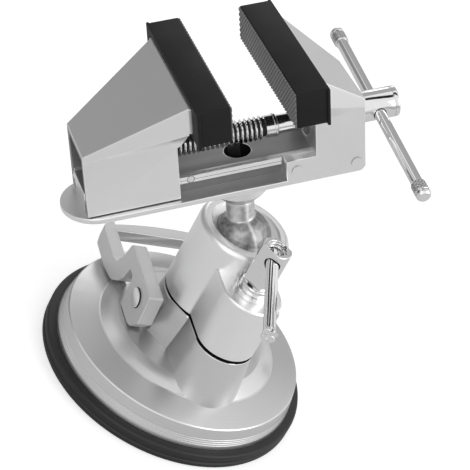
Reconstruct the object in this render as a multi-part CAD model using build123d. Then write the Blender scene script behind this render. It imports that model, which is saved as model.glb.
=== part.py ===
from build123d import *
import math
import os

# A small bench vise on a suction base, in millimetres. +Z is up and the origin is the centre of the
# suction face on the bench. X runs along the locking lever's pin and the clamp boss is toward -Y.
# The vise head is modelled level in a frame of its own: X toward the handle, Z up along the ball's
# neck, origin where the neck axis meets the underside of the bed. One placement then leans it.

os.makedirs("parts", exist_ok=True)

# Clearances
RUN_FIT = 0.05
SLIDE_GAP = 0.1
FREE_GAP = 0.3

# Suction pad and base
PAD_R = 60.0
PAD_RIM_T = 7.0
PAD_FLOOR_T = 5.0
RIM_R = 56.0
SHOULDER_R = 54.1
SHOULDER_Z = 17.2
DISH_R = 41.0
DISH_Z = 20.1
TOP_R = 33.6
TOP_Z = 23.8
CAVITY_R = 47.0
CAVITY_Z = 14.0
GROOVE_ZS = (9.2, 10.2, 11.2, 12.2)

# Column and clamp boss
COLUMN_R = 20.4
SPLIT_LOW_Z = 43.8
SPLIT_GAP = 1.5
POST_R = 12.5
POST_TOP_Z = 66.0
BOSS_R = 13.5
BOSS_Y = -27.2
BOSS_DRAFT = 7.0
BOSS_TOP_Z = 73.5
COLUMN_DRAFT = 5.5
FACET_D = 19.5
FACET_AZ = 210.0

# Ball joint
BALL_R = 12.5
BALL_Z = 79.7
RIM_TOP_Z = 84.8
RIM_ROUND = 2.8
MOUTH_R = 16.0
LIP_R = 12.3
MOUTH_DEPTH = 6.0
LIP_DEPTH = 2.4
NECK_R = 6.0
BED_H = 31.5
NECK_JOINT_H = 11.5
SPIGOT_R = 5.0
SPIGOT_L = 7.0

# Pose of the head on the ball, as photographed
LEAN_AZ = -23.1
LEAN = 26.4
SPIN = 23.06

# Lever, its pin and the pull stem
PIN_Z = 37.3
PIN_R = 2.5
PIN_HEAD_R = 4.5
PIN_HEAD_T = 1.4
PIN_TRAVEL = 1.0
LEG_IN_X = 24.8
LEG_OUT_X = 31.5
STEM_R = 5.0
STEM_TOP_Z = 42.0
PLATE_R = 13.0
PLATE_T = 3.0
PLATE_Z = 6.2
LOOP_IN_Y = 51.0
LOOP_SIDE_Y = 54.4
LOOP_OUT_Y = 57.6
LOOP_LOW = 14.0
LOOP_T = 6.0
LOOP_CORNER_R = 7.0
# Side of a lever leg from the pin: distance back, height and corner radius
LEG_OUTLINE = (
    (-9.4, 9.4, 1.2), (23.4, 9.4, 1.5), (25.6, 0.1, 3.0), (29.0, -6.4, 4.0), (34.0, -8.0, 3.0),
    (57.6, -8.0, 0), (57.6, -14.0, 0), (52.9, -14.6, 0), (51.6, -17.2, 1.5), (36.7, -17.4, 6.0),
    (26.6, -15.4, 5.0), (21.0, -10.6, 4.0), (17.8, -5.8, 2.5), (16.0, 1.8, 1.5), (11.4, 1.8, 1.0),
    (10.2, -1.5, 1.0), (9.8, -13.2, 1.5), (-1.6, -13.3, 0), (-5.3, -11.9, 2.0), (-10.4, -5.4, 2.0),
)
LOOP_CORNER_Y = 57.6

# Clamp screw
STUD_R = 4.0
STUD_BOTTOM_Z = 24.0
STUD_TOP_Z = 87.0
WASHER_R = 7.9
WASHER_T = 2.2
COLLAR_R = 7.0
COLLAR_T = 3.6
SPOT_FACE_R = 8.5
NUT_R = 6.4
NUT_FLAT = 4.7
NUT_FLAT_AZ = 210.0
CLAMP_BAR_R = 2.6
BAR_OVER_RIM = 6.0
NUT_OVER_BAR = 3.0
CLAMP_BAR_Z = RIM_TOP_Z + BAR_OVER_RIM + CLAMP_BAR_R
NUT_TOP_Z = CLAMP_BAR_Z + CLAMP_BAR_R + NUT_OVER_BAR
CLAMP_BAR_AZ = 251.0
CLAMP_BAR_NEAR = 49.5
CLAMP_BAR_FAR = 9.5
CLAMP_TIP_R = 3.6
CLAMP_TIP_L = 3.0

# Bed (head frame)
BED_HALF_W = 15.7
BED_LEFT_X = -59.2
BED_RIGHT_X = 50.0
FLANGE_T = 2.4
WEB_HALF_W = 8.0
RAIL_HALF_W = 11.5
RAIL_T = 2.0
RAIL_BOTTOM_Z = 8.3
RAIL_TOP_Z = 11.6
RAIL_LEFT_X = -66.0
RAIL_RIGHT_X = 15.3
FLOOR_DIP = 0.2
RAIL_PIN_R = 1.4
RAIL_PIN_XS = (-23.0, -56.0)
ACCESS_R = 5.5
SOCKET_R = 12.0
SOCKET_CONE_H = 4.2
SOCKET_EDGE_H = 5.8
DISC_R = 2.4
DISC_PROUD = 0.4
DISC_PLACES = ((20.6, 6.4), (46.2, 4.6))
SCREW_HEAD_R = 5.0
SCREW_HEAD_Z = 1.0
SCREW_HEAD_TOP_Z = 5.5
SCREW_SHANK_R = 3.0
SCREW_REACH = 6.0
KEY_R = 2.8
KEY_DEPTH = 3.0

# Jaws (head frame)
STEP_X = 16.0
CHEEK_X = 28.7
CHEEK_TOP_Z = 29.0
FLARE_HALF_W = 28.7
FLARE_TOP_Z = 54.0
FLARE_LOW_Z = 42.0
FIXED_TAIL_TOP_Z = 34.4
FIXED_TAIL_LOW_Z = 30.0
PLATE_HALF_W = 29.4
PLATE_LOW_Z = 42.9
CAP_T = 14.2
CAP_W = 75.0
CAP_H = 15.5
CAP_TOP_Z = 56.35
CAP_WALL = 4.0
CAP_LIP = 0.7
FIXED_FACE_X = 13.7
JAW_OPENING = 24.9
SKIRT_HALF_W = 13.5
SKIRT_LEFT_X = -66.6
SKIRT_RIGHT_X = -28.0
SKIRT_BOTTOM_Z = 2.8
SKIRT_TOP_Z = 28.0
SKIRT_IN = 11.0
TAIL_TOP_Z = 31.5
HOOD_WALL = 2.8

# Lead screw and handle (head frame)
SCREW_Z = 20.2
THREAD_R = 5.0
THREAD_ROOT_R = 3.9
PITCH = 2.0
THREAD_LEFT_X = -60.0
THREAD_RIGHT_X = 11.5
COLLAR_X = 17.0
SHANK_R = 4.0
HUB_R = 6.5
HUB_LEFT_X = 51.5
HUB_RIGHT_X = 68.8
NUT_BLOCK_X = (-46.0, -33.0)
HANDLE_X = 59.7
HANDLE_TILT = 9.66
HANDLE_R = 2.5
HANDLE_FAR = 49.5
HANDLE_NEAR = 58.0
KNOB_R = 3.2
KNOB_L = 8.5


def turned(points):
    """Solid turned about Z from (radius, height) points."""
    outline = Polyline(*[(r, 0, z) for r, z in points], close=True)
    return revolve(make_face(outline), Axis.Z)


def turned_x(points, height):
    """Solid turned about a line along X at the given height, from (x, radius) points."""
    outline = Polyline(*[(x, 0, r) for x, r in points], close=True)
    return Pos(0, 0, height) * revolve(make_face(outline), Axis.X)


def slab(x0, x1, y0, y1, z0, z1):
    """Box between two corners."""
    box = Box(x1 - x0, y1 - y0, z1 - z0)
    return Pos((x0 + x1) / 2, (y0 + y1) / 2, (z0 + z1) / 2) * box


def rod_z(radius, x, y, z0, z1):
    """Upright cylinder."""
    return Pos(x, y, (z0 + z1) / 2) * Cylinder(radius, z1 - z0)


def rod_x(radius, x0, x1, y, z):
    """Cylinder along X."""
    return Pos((x0 + x1) / 2, y, z) * Rot(0, 90, 0) * Cylinder(radius, x1 - x0)


def rod_y(radius, x, y0, y1, z):
    """Cylinder along Y."""
    return Pos(x, (y0 + y1) / 2, z) * Rot(90, 0, 0) * Cylinder(radius, y1 - y0)


def faceted(vertices, faces):
    """Solid with flat faces, each face a list of vertex numbers."""
    skins = [make_face(Polyline(*[vertices[i] for i in face], close=True)) for face in faces]
    return Solid(Shell([skin.faces()[0] for skin in skins]))


def flared_body(x_jaw, half_jaw, z_jaw, x_tail, half_tail, z_tail):
    """Wedge under a tapering top plate. Each z is (top edge, lower edge, bottom)."""
    top_j, low_j, bottom_j = z_jaw
    top_t, low_t, bottom_t = z_tail
    ring = []
    for x, half, inner, top, low, bottom in (
        (x_jaw, half_jaw, half_tail, top_j, low_j, bottom_j),
        (x_tail, half_tail, half_tail, top_t, low_t, bottom_t),
    ):
        ring += [(x, half, top), (x, half, low), (x, inner, bottom)]
        ring += [(x, -inner, bottom), (x, -half, low), (x, -half, top)]
    faces = [[0, 1, 2, 3, 4, 5], [6, 7, 8, 9, 10, 11], [5, 0, 6, 11], [2, 3, 9, 8]]
    faces += [[0, 1, 7, 6], [4, 5, 11, 10], [1, 2, 7], [2, 8, 7], [3, 4, 10], [3, 10, 9]]
    return faceted(ring, faces)


def boss_plan(radius):
    """Plan of the clamp boss: a half round front on straight flanks that reach the column."""
    plan = Pos(0, BOSS_Y) * Circle(radius)
    return plan + Pos(0, BOSS_Y / 2) * Rectangle(2 * radius, -BOSS_Y)


def suction_pad():
    """Rubber pad with a rim that shows and a centre boss that holds the pull plate."""
    boss_r = PLATE_R + 3.0
    boss_z = PLATE_Z + PLATE_T + 2.0
    outline = [(0, 0), (PAD_R - 0.6, 0), (PAD_R, 0.8), (PAD_R, PAD_RIM_T - 1.6)]
    outline += [(PAD_R - 1.4, PAD_RIM_T), (CAVITY_R, PAD_RIM_T), (CAVITY_R - 3, PAD_FLOOR_T)]
    outline += [(boss_r + 3, PAD_FLOOR_T), (boss_r, boss_z), (0, boss_z)]
    pad = turned(outline)
    pad -= rod_z(PLATE_R + SLIDE_GAP, 0, 0, PAD_FLOOR_T, PLATE_Z + PLATE_T + SLIDE_GAP)
    return pad - rod_z(STEM_R + FREE_GAP, 0, 0, PAD_FLOOR_T, boss_z + 1)


def base_casting():
    """Round base with the lower half of the column and of the clamp boss."""
    outline = [(0, CAVITY_Z), (CAVITY_R - 3, CAVITY_Z), (CAVITY_R, CAVITY_Z - 3)]
    outline += [(CAVITY_R, PAD_RIM_T), (RIM_R, PAD_RIM_T)]
    for z in GROOVE_ZS:
        r = RIM_R + (SHOULDER_R - RIM_R) * (z - PAD_RIM_T) / (SHOULDER_Z - PAD_RIM_T)
        outline += [(r, z - 0.2), (r - 0.3, z), (r, z + 0.2)]
    outline += [(SHOULDER_R, SHOULDER_Z), (SHOULDER_R - 0.5, SHOULDER_Z + 0.4)]
    outline += [(DISH_R + 0.2, DISH_Z), (DISH_R - 0.5, DISH_Z + 0.1), (TOP_R + 2.5, TOP_Z - 0.9)]
    foot_r = COLUMN_R + (SPLIT_LOW_Z - TOP_Z) * math.tan(math.radians(COLUMN_DRAFT))
    outline += [(TOP_R, TOP_Z), (foot_r + 0.8, TOP_Z), (foot_r, TOP_Z + 0.8)]
    outline += [(COLUMN_R, SPLIT_LOW_Z - 0.4)]
    outline += [(COLUMN_R - 0.4, SPLIT_LOW_Z), (0, SPLIT_LOW_Z)]
    body = turned(outline)
    foot_z = CAVITY_Z + 3
    drop = SPLIT_LOW_Z - foot_z
    boss_foot_r = BOSS_R + drop * math.tan(math.radians(BOSS_DRAFT))
    boss = Pos(0, 0, foot_z) * extrude(boss_plan(boss_foot_r), drop, taper=BOSS_DRAFT)
    reach = 2 * COLUMN_R
    for azimuth in (FACET_AZ, 540 - FACET_AZ):
        cut = slab(0, reach, -reach, reach, -reach, 2)
        cut = Rot(0, 0, azimuth) * Pos(FACET_D, 0, SPLIT_LOW_Z) * Rot(0, -COLUMN_DRAFT, 0) * cut
        body -= cut & rod_z(foot_r + 1, 0, 0, TOP_Z, SPLIT_LOW_Z + 1)
    body += boss
    body += rod_z(POST_R, 0, 0, SPLIT_LOW_Z - 1, POST_TOP_Z)
    body -= rod_z(STEM_R + RUN_FIT, 0, 0, 0, STEM_TOP_Z + 2)
    slot_r = PIN_R + SLIDE_GAP
    for z in (PIN_Z, PIN_Z - PIN_TRAVEL):
        body -= rod_x(slot_r, -reach, reach, 0, z)
    body -= slab(-reach, reach, -slot_r, slot_r, PIN_Z - PIN_TRAVEL, PIN_Z)
    return body - rod_z(STUD_R, 0, BOSS_Y, STUD_BOTTOM_Z, SPLIT_LOW_Z + 1)


def upper_housing():
    """Upper half of the column: holds the ball under its lip and carries the clamp boss."""
    low = SPLIT_LOW_Z + SPLIT_GAP
    body = rod_z(COLUMN_R, 0, 0, low, RIM_TOP_Z)
    body = fillet(body.edges().filter_by(GeomType.CIRCLE).sort_by(Axis.Z)[-1], RIM_ROUND)
    boss = Pos(0, 0, low) * extrude(boss_plan(BOSS_R), BOSS_TOP_Z - low)
    boss = chamfer(boss.faces().sort_by(Axis.Z)[-1].edges(), 0.7)
    body += boss
    body -= rod_z(SPOT_FACE_R, 0, BOSS_Y, BOSS_TOP_Z, BOSS_TOP_Z + WASHER_T + COLLAR_T)
    low_z = RIM_TOP_Z - MOUTH_DEPTH
    mouth = [(0, low_z), (LIP_R, low_z), (LIP_R, RIM_TOP_Z - LIP_DEPTH)]
    mouth += [(MOUTH_R - 1.0, RIM_TOP_Z - 1.2), (MOUTH_R + 0.6, RIM_TOP_Z + 1), (0, RIM_TOP_Z + 1)]
    body -= turned(mouth) & rod_z(MOUTH_R + 2, 0, 0, BALL_Z + 2.4, RIM_TOP_Z + 1)
    body -= Pos(0, 0, BALL_Z) * Sphere(BALL_R + RUN_FIT)
    body -= rod_z(POST_R + SLIDE_GAP, 0, 0, low - 1, BALL_Z)
    return body - rod_z(STUD_R + FREE_GAP, 0, BOSS_Y, low - 1, BOSS_TOP_Z + 1)


def ball_seat():
    """Ring under the ball that turns with it on the post."""
    seat = rod_z(POST_R - SLIDE_GAP, 0, 0, POST_TOP_Z + RUN_FIT, BALL_Z - 4.0)
    seat -= Pos(0, 0, BALL_Z) * Sphere(BALL_R + RUN_FIT)
    return seat - rod_z(POST_R / 2, 0, 0, POST_TOP_Z - 1, BALL_Z)


def clamp_stud():
    """Stud fixed in the lower boss, with its end inside the nut."""
    return chamfer(rod_z(STUD_R, 0, BOSS_Y, STUD_BOTTOM_Z, STUD_TOP_Z).edges(), 0.6)


def clamp_washer():
    """Washer between the boss and the nut."""
    washer = rod_z(WASHER_R, 0, BOSS_Y, BOSS_TOP_Z, BOSS_TOP_Z + WASHER_T)
    washer = chamfer(washer.edges(), 0.3)
    return washer - rod_z(STUD_R + FREE_GAP, 0, BOSS_Y, BOSS_TOP_Z - 1, BOSS_TOP_Z + 4)


def clamp_bar_at(part):
    """Place a bar modelled along +X through the clamp nut's cross hole."""
    return Pos(0, BOSS_Y, CLAMP_BAR_Z) * Rot(0, 0, CLAMP_BAR_AZ) * part


def clamp_nut():
    """Tall round nut with a collar, two flats, a threaded bore right through and a cross hole."""
    base_z = BOSS_TOP_Z + WASHER_T
    body_z = base_z + COLLAR_T
    outline = [(0, base_z), (COLLAR_R - 0.3, base_z), (COLLAR_R, base_z + 0.3)]
    outline += [(COLLAR_R, body_z - 0.9), (COLLAR_R - 0.9, body_z), (NUT_R, body_z)]
    outline += [(NUT_R, NUT_TOP_Z - 0.9), (NUT_R - 0.9, NUT_TOP_Z), (0, NUT_TOP_Z)]
    nut = turned(outline)
    for azimuth in (NUT_FLAT_AZ, NUT_FLAT_AZ + 180):
        flat = slab(NUT_FLAT, 2 * NUT_R, -NUT_R, NUT_R, body_z, NUT_TOP_Z + 1)
        nut -= Rot(0, 0, azimuth) * flat
    nut -= rod_z(STUD_R + RUN_FIT, 0, 0, base_z - 1, NUT_TOP_Z + 1)
    nut = Pos(0, BOSS_Y, 0) * nut
    return nut - clamp_bar_at(rod_x(CLAMP_BAR_R + FREE_GAP, -2 * NUT_R, 2 * NUT_R, 0, 0))


def clamp_bar():
    """Sliding bar of the clamp nut with its ends spread so that it can't fall out."""
    near_x = CLAMP_BAR_NEAR - CLAMP_TIP_L
    outline = [(-CLAMP_BAR_FAR, 0), (-CLAMP_BAR_FAR, CLAMP_TIP_R), (1.6 - CLAMP_BAR_FAR, CLAMP_BAR_R)]
    outline += [(near_x, CLAMP_BAR_R), (near_x + 2, CLAMP_TIP_R), (CLAMP_BAR_NEAR, CLAMP_TIP_R - 0.8)]
    outline += [(CLAMP_BAR_NEAR, 0)]
    return clamp_bar_at(turned_x(outline, 0))


def pull_stem():
    """Stem and plate that lift the middle of the pad, cross drilled for the lever pin."""
    stem = rod_z(STEM_R, 0, 0, PLATE_Z, STEM_TOP_Z) + rod_z(PLATE_R, 0, 0, PLATE_Z, PLATE_Z + PLATE_T)
    return stem - rod_x(PIN_R + RUN_FIT, -2 * STEM_R, 2 * STEM_R, 0, PIN_Z)


def lever_pin():
    """Pivot pin with a domed head outside each leg of the lever."""
    end_x = LEG_OUT_X + SLIDE_GAP
    top_x = end_x + PIN_HEAD_T
    outline = [(-top_x, 0), (-top_x, PIN_HEAD_R - 1.6), (0.5 - top_x, PIN_HEAD_R - 0.4)]
    outline += [(-end_x - 0.3, PIN_HEAD_R), (-end_x, PIN_HEAD_R), (-end_x, PIN_R)]
    outline += [(-x, r) for x, r in reversed(outline)]
    return turned_x(outline, PIN_Z)


def lever():
    """Cam lever: two notched legs joined behind the column by a bowed hand loop."""
    outline = Polyline(*[(0, y, z + PIN_Z) for y, z, _ in LEG_OUTLINE], close=True)
    leg = extrude(make_face(outline), LEG_OUT_X - LEG_IN_X, dir=(1, 0, 0))
    middle_x = (LEG_OUT_X - LEG_IN_X) / 2
    for y, z, radius in LEG_OUTLINE:
        if radius:
            corner = leg.edges().filter_by(Axis.X).sort_by_distance((middle_x, y, z + PIN_Z))[0]
            leg = fillet(corner, radius)
    leg -= rod_x(PIN_R + RUN_FIT, -1, 2 * LEG_OUT_X, 0, PIN_Z)
    half = LEG_OUT_X
    arc = ThreePointArc((-half, LOOP_SIDE_Y, 0), (0, LOOP_OUT_Y, 0), (half, LOOP_SIDE_Y, 0))
    rest = Polyline((half, LOOP_SIDE_Y, 0), (half, LOOP_IN_Y, 0), (-half, LOOP_IN_Y, 0),
                    (-half, LOOP_SIDE_Y, 0))
    plan = make_face(Curve() + [arc, rest])
    bow = Pos(0, 0, PIN_Z - LOOP_LOW) * extrude(plan, LOOP_T)
    body = Pos(LEG_IN_X, 0, 0) * leg + Pos(-LEG_OUT_X, 0, 0) * leg + bow
    over = 2 * PIN_Z
    outer = slab(-half, half, 0, LOOP_CORNER_Y, 0, over)
    outer = fillet(outer.edges().filter_by(Axis.Z).sort_by(Axis.Y)[-2:], LOOP_CORNER_R)
    keep = slab(-half, half, -half, half, 0, over) + outer
    relief = [(0, TOP_Z + FREE_GAP), (TOP_R, TOP_Z + FREE_GAP), (TOP_R + 2.9, TOP_Z - 0.6)]
    relief += [(DISH_R + 0.2, DISH_Z + FREE_GAP), (SHOULDER_R, SHOULDER_Z + 2 * FREE_GAP), (SHOULDER_R, 0)]
    relief += [(0, 0)]
    return (body & keep) - turned(relief)


def bed_casting():
    """Bed with the fixed jaw, cast in one."""
    bed = slab(BED_LEFT_X, BED_RIGHT_X, -BED_HALF_W, BED_HALF_W, 0, FLANGE_T)
    bed += rod_z(BED_HALF_W, BED_LEFT_X, 0, 0, FLANGE_T)
    web_x = SKIRT_LEFT_X
    bed += slab(web_x, STEP_X, -WEB_HALF_W, WEB_HALF_W, 0, RAIL_BOTTOM_Z + 1)
    core = RAIL_HALF_W - RAIL_T
    bed += slab(web_x, STEP_X, -core, core, RAIL_BOTTOM_Z, RAIL_TOP_Z)
    valley = Polyline((web_x - 1, -core + 1, RAIL_TOP_Z + 1), (web_x - 1, -core + 1, RAIL_TOP_Z),
                      (web_x - 1, 0, RAIL_TOP_Z - FLOOR_DIP), (web_x - 1, core - 1, RAIL_TOP_Z),
                      (web_x - 1, core - 1, RAIL_TOP_Z + 1), close=True)
    bed += slab(STEP_X, BED_RIGHT_X, -BED_HALF_W, BED_HALF_W, 0, RAIL_TOP_Z)
    bed += slab(CHEEK_X, BED_RIGHT_X, -BED_HALF_W, BED_HALF_W, 0, CHEEK_TOP_Z)
    corners = bed.edges().filter_by(Axis.Y).group_by(Axis.Z)[0].sort_by(Axis.X)[-1]
    bed = fillet(corners, 3.0)
    bed -= extrude(make_face(valley), CHEEK_X - web_x + 1, dir=(1, 0, 0))
    back_x = FIXED_FACE_X + CAP_T + 0.5
    bed += flared_body(back_x, FLARE_HALF_W, (FLARE_TOP_Z, FLARE_LOW_Z, CHEEK_TOP_Z - 1),
                       BED_RIGHT_X, BED_HALF_W,
                       (FIXED_TAIL_TOP_Z, FIXED_TAIL_LOW_Z, CHEEK_TOP_Z - 1))
    plate_x = FIXED_FACE_X + CAP_WALL + SLIDE_GAP
    bed += slab(plate_x, CHEEK_X + 0.3, -PLATE_HALF_W, PLATE_HALF_W, PLATE_LOW_Z, FLARE_TOP_Z)
    for side in (-1, 1):
        for x, z in DISC_PLACES:
            wall_y = side * BED_HALF_W
            bed += rod_y(DISC_R, x, wall_y - DISC_PROUD, wall_y + DISC_PROUD, z)
    socket = [(0, -NECK_JOINT_H), (NECK_R + 0.4, -NECK_JOINT_H)]
    socket += [(SOCKET_R - 1.2, SOCKET_CONE_H - NECK_JOINT_H)]
    socket += [(SOCKET_R, SOCKET_EDGE_H - NECK_JOINT_H), (SOCKET_R, 1), (0, 1)]
    bed += turned(socket)
    bed -= rod_z(SPIGOT_R + RUN_FIT, 0, 0, -NECK_JOINT_H - 1, SPIGOT_L - NECK_JOINT_H + SLIDE_GAP)
    bed -= rod_z(SCREW_SHANK_R + 2 * SLIDE_GAP, 0, 0, -NECK_JOINT_H, RAIL_TOP_Z)
    bed -= rod_z(ACCESS_R, 0, 0, SCREW_HEAD_Z, RAIL_TOP_Z + 1)
    bed -= rod_x(SHANK_R + RUN_FIT, STEP_X, BED_RIGHT_X + 1, 0, SCREW_Z)
    bed -= rod_x(HUB_R + 0.6, STEP_X, CHEEK_X + 1.4, 0, SCREW_Z)
    for x in RAIL_PIN_XS:
        bed -= rod_y(RAIL_PIN_R, x, -RAIL_HALF_W, RAIL_HALF_W, (RAIL_BOTTOM_Z + RAIL_TOP_Z) / 2)
    return bed


def guide_rail(side):
    """Flat rail along one edge of the bed that the moving jaw slides on."""
    outer = side * RAIL_HALF_W
    inner = side * (RAIL_HALF_W - RAIL_T)
    rail = slab(RAIL_LEFT_X, RAIL_RIGHT_X, min(inner, outer), max(inner, outer),
                RAIL_BOTTOM_Z, RAIL_TOP_Z)
    for x in RAIL_PIN_XS:
        rail -= rod_y(RAIL_PIN_R, x, min(inner, outer) - 1, max(inner, outer) + 1,
                      (RAIL_BOTTOM_Z + RAIL_TOP_Z) / 2)
    return rail


def rail_pins():
    """Pins that hold both rails to the bed, flush with the rails."""
    z = (RAIL_BOTTOM_Z + RAIL_TOP_Z) / 2
    return Compound([rod_y(RAIL_PIN_R, x, -RAIL_HALF_W, RAIL_HALF_W, z).solid() for x in RAIL_PIN_XS])


def jaw_cap(face_x, side):
    """Rubber cap over a jaw plate. Side is 1 when the cap's back is toward +X."""
    low = CAP_TOP_Z - CAP_H
    half = CAP_W / 2
    back = face_x + side * CAP_T
    cap = slab(min(face_x, back), max(face_x, back), -half, half, low, CAP_TOP_Z)
    lip_x = back - side * 1.2
    cap += slab(min(lip_x, back), max(lip_x, back), -half - CAP_LIP, half + CAP_LIP,
                low - CAP_LIP, CAP_TOP_Z)
    front = face_x + side * CAP_WALL
    deep = back + side * 1.0
    reach = PLATE_HALF_W + SLIDE_GAP
    pocket = slab(min(front, deep), max(front, deep), -reach, reach,
                  PLATE_LOW_Z - SLIDE_GAP, FLARE_TOP_Z + SLIDE_GAP)
    return cap - pocket


def stud_screw():
    """Screw down through the bed's floor into the ball's neck."""
    screw = rod_z(SCREW_HEAD_R, 0, 0, SCREW_HEAD_Z + RUN_FIT, SCREW_HEAD_TOP_Z)
    screw += rod_z(SCREW_SHANK_R, 0, 0, -NECK_JOINT_H - SCREW_REACH, SCREW_HEAD_TOP_Z - 1)
    return screw - Pos(0, 0, SCREW_HEAD_TOP_Z) * extrude(RegularPolygon(KEY_R, 6), -KEY_DEPTH)


def ball_stud():
    """Ball, neck and spigot in one turning, with the casting seam left on the neck."""
    stud = Pos(0, 0, -BED_H) * Sphere(BALL_R)
    stud += rod_z(NECK_R, 0, 0, -BED_H, -NECK_JOINT_H - RUN_FIT)
    stud += rod_z(SPIGOT_R, 0, 0, -BED_H, SPIGOT_L - NECK_JOINT_H)
    return stud - rod_z(SCREW_SHANK_R, 0, 0, -NECK_JOINT_H - SCREW_REACH - 1, 0)


def handle_at(part):
    """Place a part modelled along +Y through the hub's cross hole."""
    return Pos(HANDLE_X, 0, SCREW_Z) * Rot(HANDLE_TILT, 0, 0) * part


def lead_screw():
    """Threaded screw, drawn with plain rings for turns, with the shank that the fixed jaw carries."""
    outline = [(THREAD_LEFT_X, 0), (THREAD_LEFT_X, THREAD_ROOT_R)]
    turns = int((THREAD_RIGHT_X - THREAD_LEFT_X) / PITCH)
    for turn in range(turns):
        x = THREAD_LEFT_X + turn * PITCH
        outline += [(x + 0.25, THREAD_ROOT_R), (x + 0.8, THREAD_R)]
        outline += [(x + 1.2, THREAD_R), (x + 1.75, THREAD_ROOT_R)]
    outline += [(THREAD_RIGHT_X, THREAD_ROOT_R), (THREAD_RIGHT_X, 4.7), (COLLAR_X - 1.6, 4.7)]
    outline += [(COLLAR_X - 1.6, THREAD_R), (COLLAR_X - 0.4, THREAD_R), (COLLAR_X, SHANK_R)]
    outline += [(HUB_RIGHT_X - 3, SHANK_R), (HUB_RIGHT_X - 3, 0)]
    screw = turned_x(outline, SCREW_Z)
    return screw - handle_at(rod_y(HANDLE_R + RUN_FIT, 0, -2 * HUB_R, 2 * HUB_R, 0))


def screw_hub():
    """Round head pressed on the screw, cross drilled for the handle bar."""
    outline = [(HUB_LEFT_X, SHANK_R), (HUB_LEFT_X, HUB_R - 0.6), (HUB_LEFT_X + 0.6, HUB_R)]
    outline += [(HUB_RIGHT_X - 2.4, HUB_R), (HUB_RIGHT_X - 2.2, HUB_R - 0.3)]
    outline += [(HUB_RIGHT_X - 2.0, HUB_R), (HUB_RIGHT_X - 0.8, HUB_R), (HUB_RIGHT_X, HUB_R - 0.8)]
    outline += [(HUB_RIGHT_X, 0), (HUB_RIGHT_X - 3, 0), (HUB_RIGHT_X - 3, SHANK_R)]
    hub = turned_x(outline, SCREW_Z)
    return hub - handle_at(rod_y(HANDLE_R + RUN_FIT, 0, -2 * HUB_R, 2 * HUB_R, 0))


def ring_x(x0, x1, inner, outer):
    """Flat ring round the lead screw."""
    return rod_x(outer, x0, x1, 0, SCREW_Z) - rod_x(inner, x0 - 1, x1 + 1, 0, SCREW_Z)


def handle_bar():
    """Sliding handle bar, turned down at both ends for its knobs."""
    bar = rod_y(HANDLE_R, 0, KNOB_L - HANDLE_NEAR, HANDLE_FAR - KNOB_L, 0)
    bar += rod_y(1.8, 0, 2 - HANDLE_NEAR, HANDLE_FAR - 2, 0)
    return handle_at(bar)


def handle_knobs():
    """Knurled knobs on the ends of the handle bar."""
    outline = [(0, 0), (KNOB_R - 0.7, 0), (KNOB_R, 0.7), (KNOB_R, KNOB_L - 2.6)]
    outline += [(KNOB_R - 0.4, KNOB_L - 1.2), (KNOB_R - 1.4, KNOB_L - 0.2), (0, KNOB_L)]
    knob = turned(outline) - rod_z(1.8, 0, 0, -1, KNOB_L - 2)
    far = Pos(0, HANDLE_FAR - KNOB_L, 0) * Rot(-90, 0, 0) * knob
    near = Pos(0, KNOB_L - HANDLE_NEAR, 0) * Rot(90, 0, 0) * knob
    return Compound([handle_at(far).solid(), handle_at(near).solid()])


def moving_jaw():
    """Hollow sliding jaw: skirts that hook under the rails and a hood that flares to the plate."""
    face_x = FIXED_FACE_X - JAW_OPENING
    back_x = face_x - CAP_T
    hood = flared_body(back_x - 1.0, FLARE_HALF_W, (FLARE_TOP_Z, FLARE_LOW_Z, SKIRT_TOP_Z),
                       SKIRT_LEFT_X, SKIRT_HALF_W, (TAIL_TOP_Z, SKIRT_TOP_Z + 0.4, SKIRT_TOP_Z))
    wall = HOOD_WALL
    front_x = SKIRT_RIGHT_X - wall
    rise = (FLARE_TOP_Z - TAIL_TOP_Z) / (back_x - 1.0 - SKIRT_LEFT_X)
    top_z = FLARE_TOP_Z - wall - rise * (back_x - 1.0 - front_x)
    void = flared_body(front_x, FLARE_HALF_W - wall - 2.0, (top_z, FLARE_LOW_Z - 0.5, SKIRT_TOP_Z + 1),
                       SKIRT_LEFT_X - 0.1, SKIRT_IN, (TAIL_TOP_Z - wall, SKIRT_TOP_Z + 0.4, SKIRT_TOP_Z))
    jaw = slab(SKIRT_LEFT_X, SKIRT_RIGHT_X, -SKIRT_HALF_W, SKIRT_HALF_W, SKIRT_BOTTOM_Z,
               SKIRT_TOP_Z + 0.2)
    jaw += hood
    jaw -= void
    channel_z = RAIL_TOP_Z + SLIDE_GAP
    end = 1.0
    jaw -= slab(SKIRT_LEFT_X - end, SKIRT_RIGHT_X + end, -SKIRT_IN, SKIRT_IN, channel_z, SKIRT_TOP_Z + 0.3)
    side = RAIL_HALF_W + SLIDE_GAP
    jaw -= slab(SKIRT_LEFT_X - end, SKIRT_RIGHT_X + end, -side, side,
                RAIL_BOTTOM_Z - SLIDE_GAP, channel_z)
    web = WEB_HALF_W + FREE_GAP
    jaw -= slab(SKIRT_LEFT_X - end, SKIRT_RIGHT_X + end, -web, web, 0, RAIL_BOTTOM_Z)
    plate_front = face_x - CAP_WALL - SLIDE_GAP
    jaw += slab(back_x - 1.0, plate_front, -PLATE_HALF_W, PLATE_HALF_W, PLATE_LOW_Z, FLARE_TOP_Z)
    for x in NUT_BLOCK_X:
        sign = math.copysign(1, x - sum(NUT_BLOCK_X) / 2)
        rib = slab(min(x, x + 2 * sign), max(x, x + 2 * sign), -SKIRT_HALF_W + 1, SKIRT_HALF_W - 1,
                   channel_z + 1, SKIRT_TOP_Z - 0.5)
        jaw += rib
    return jaw - rod_x(THREAD_R + 1.5, SKIRT_LEFT_X, SKIRT_RIGHT_X + 2, 0, SCREW_Z)


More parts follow.
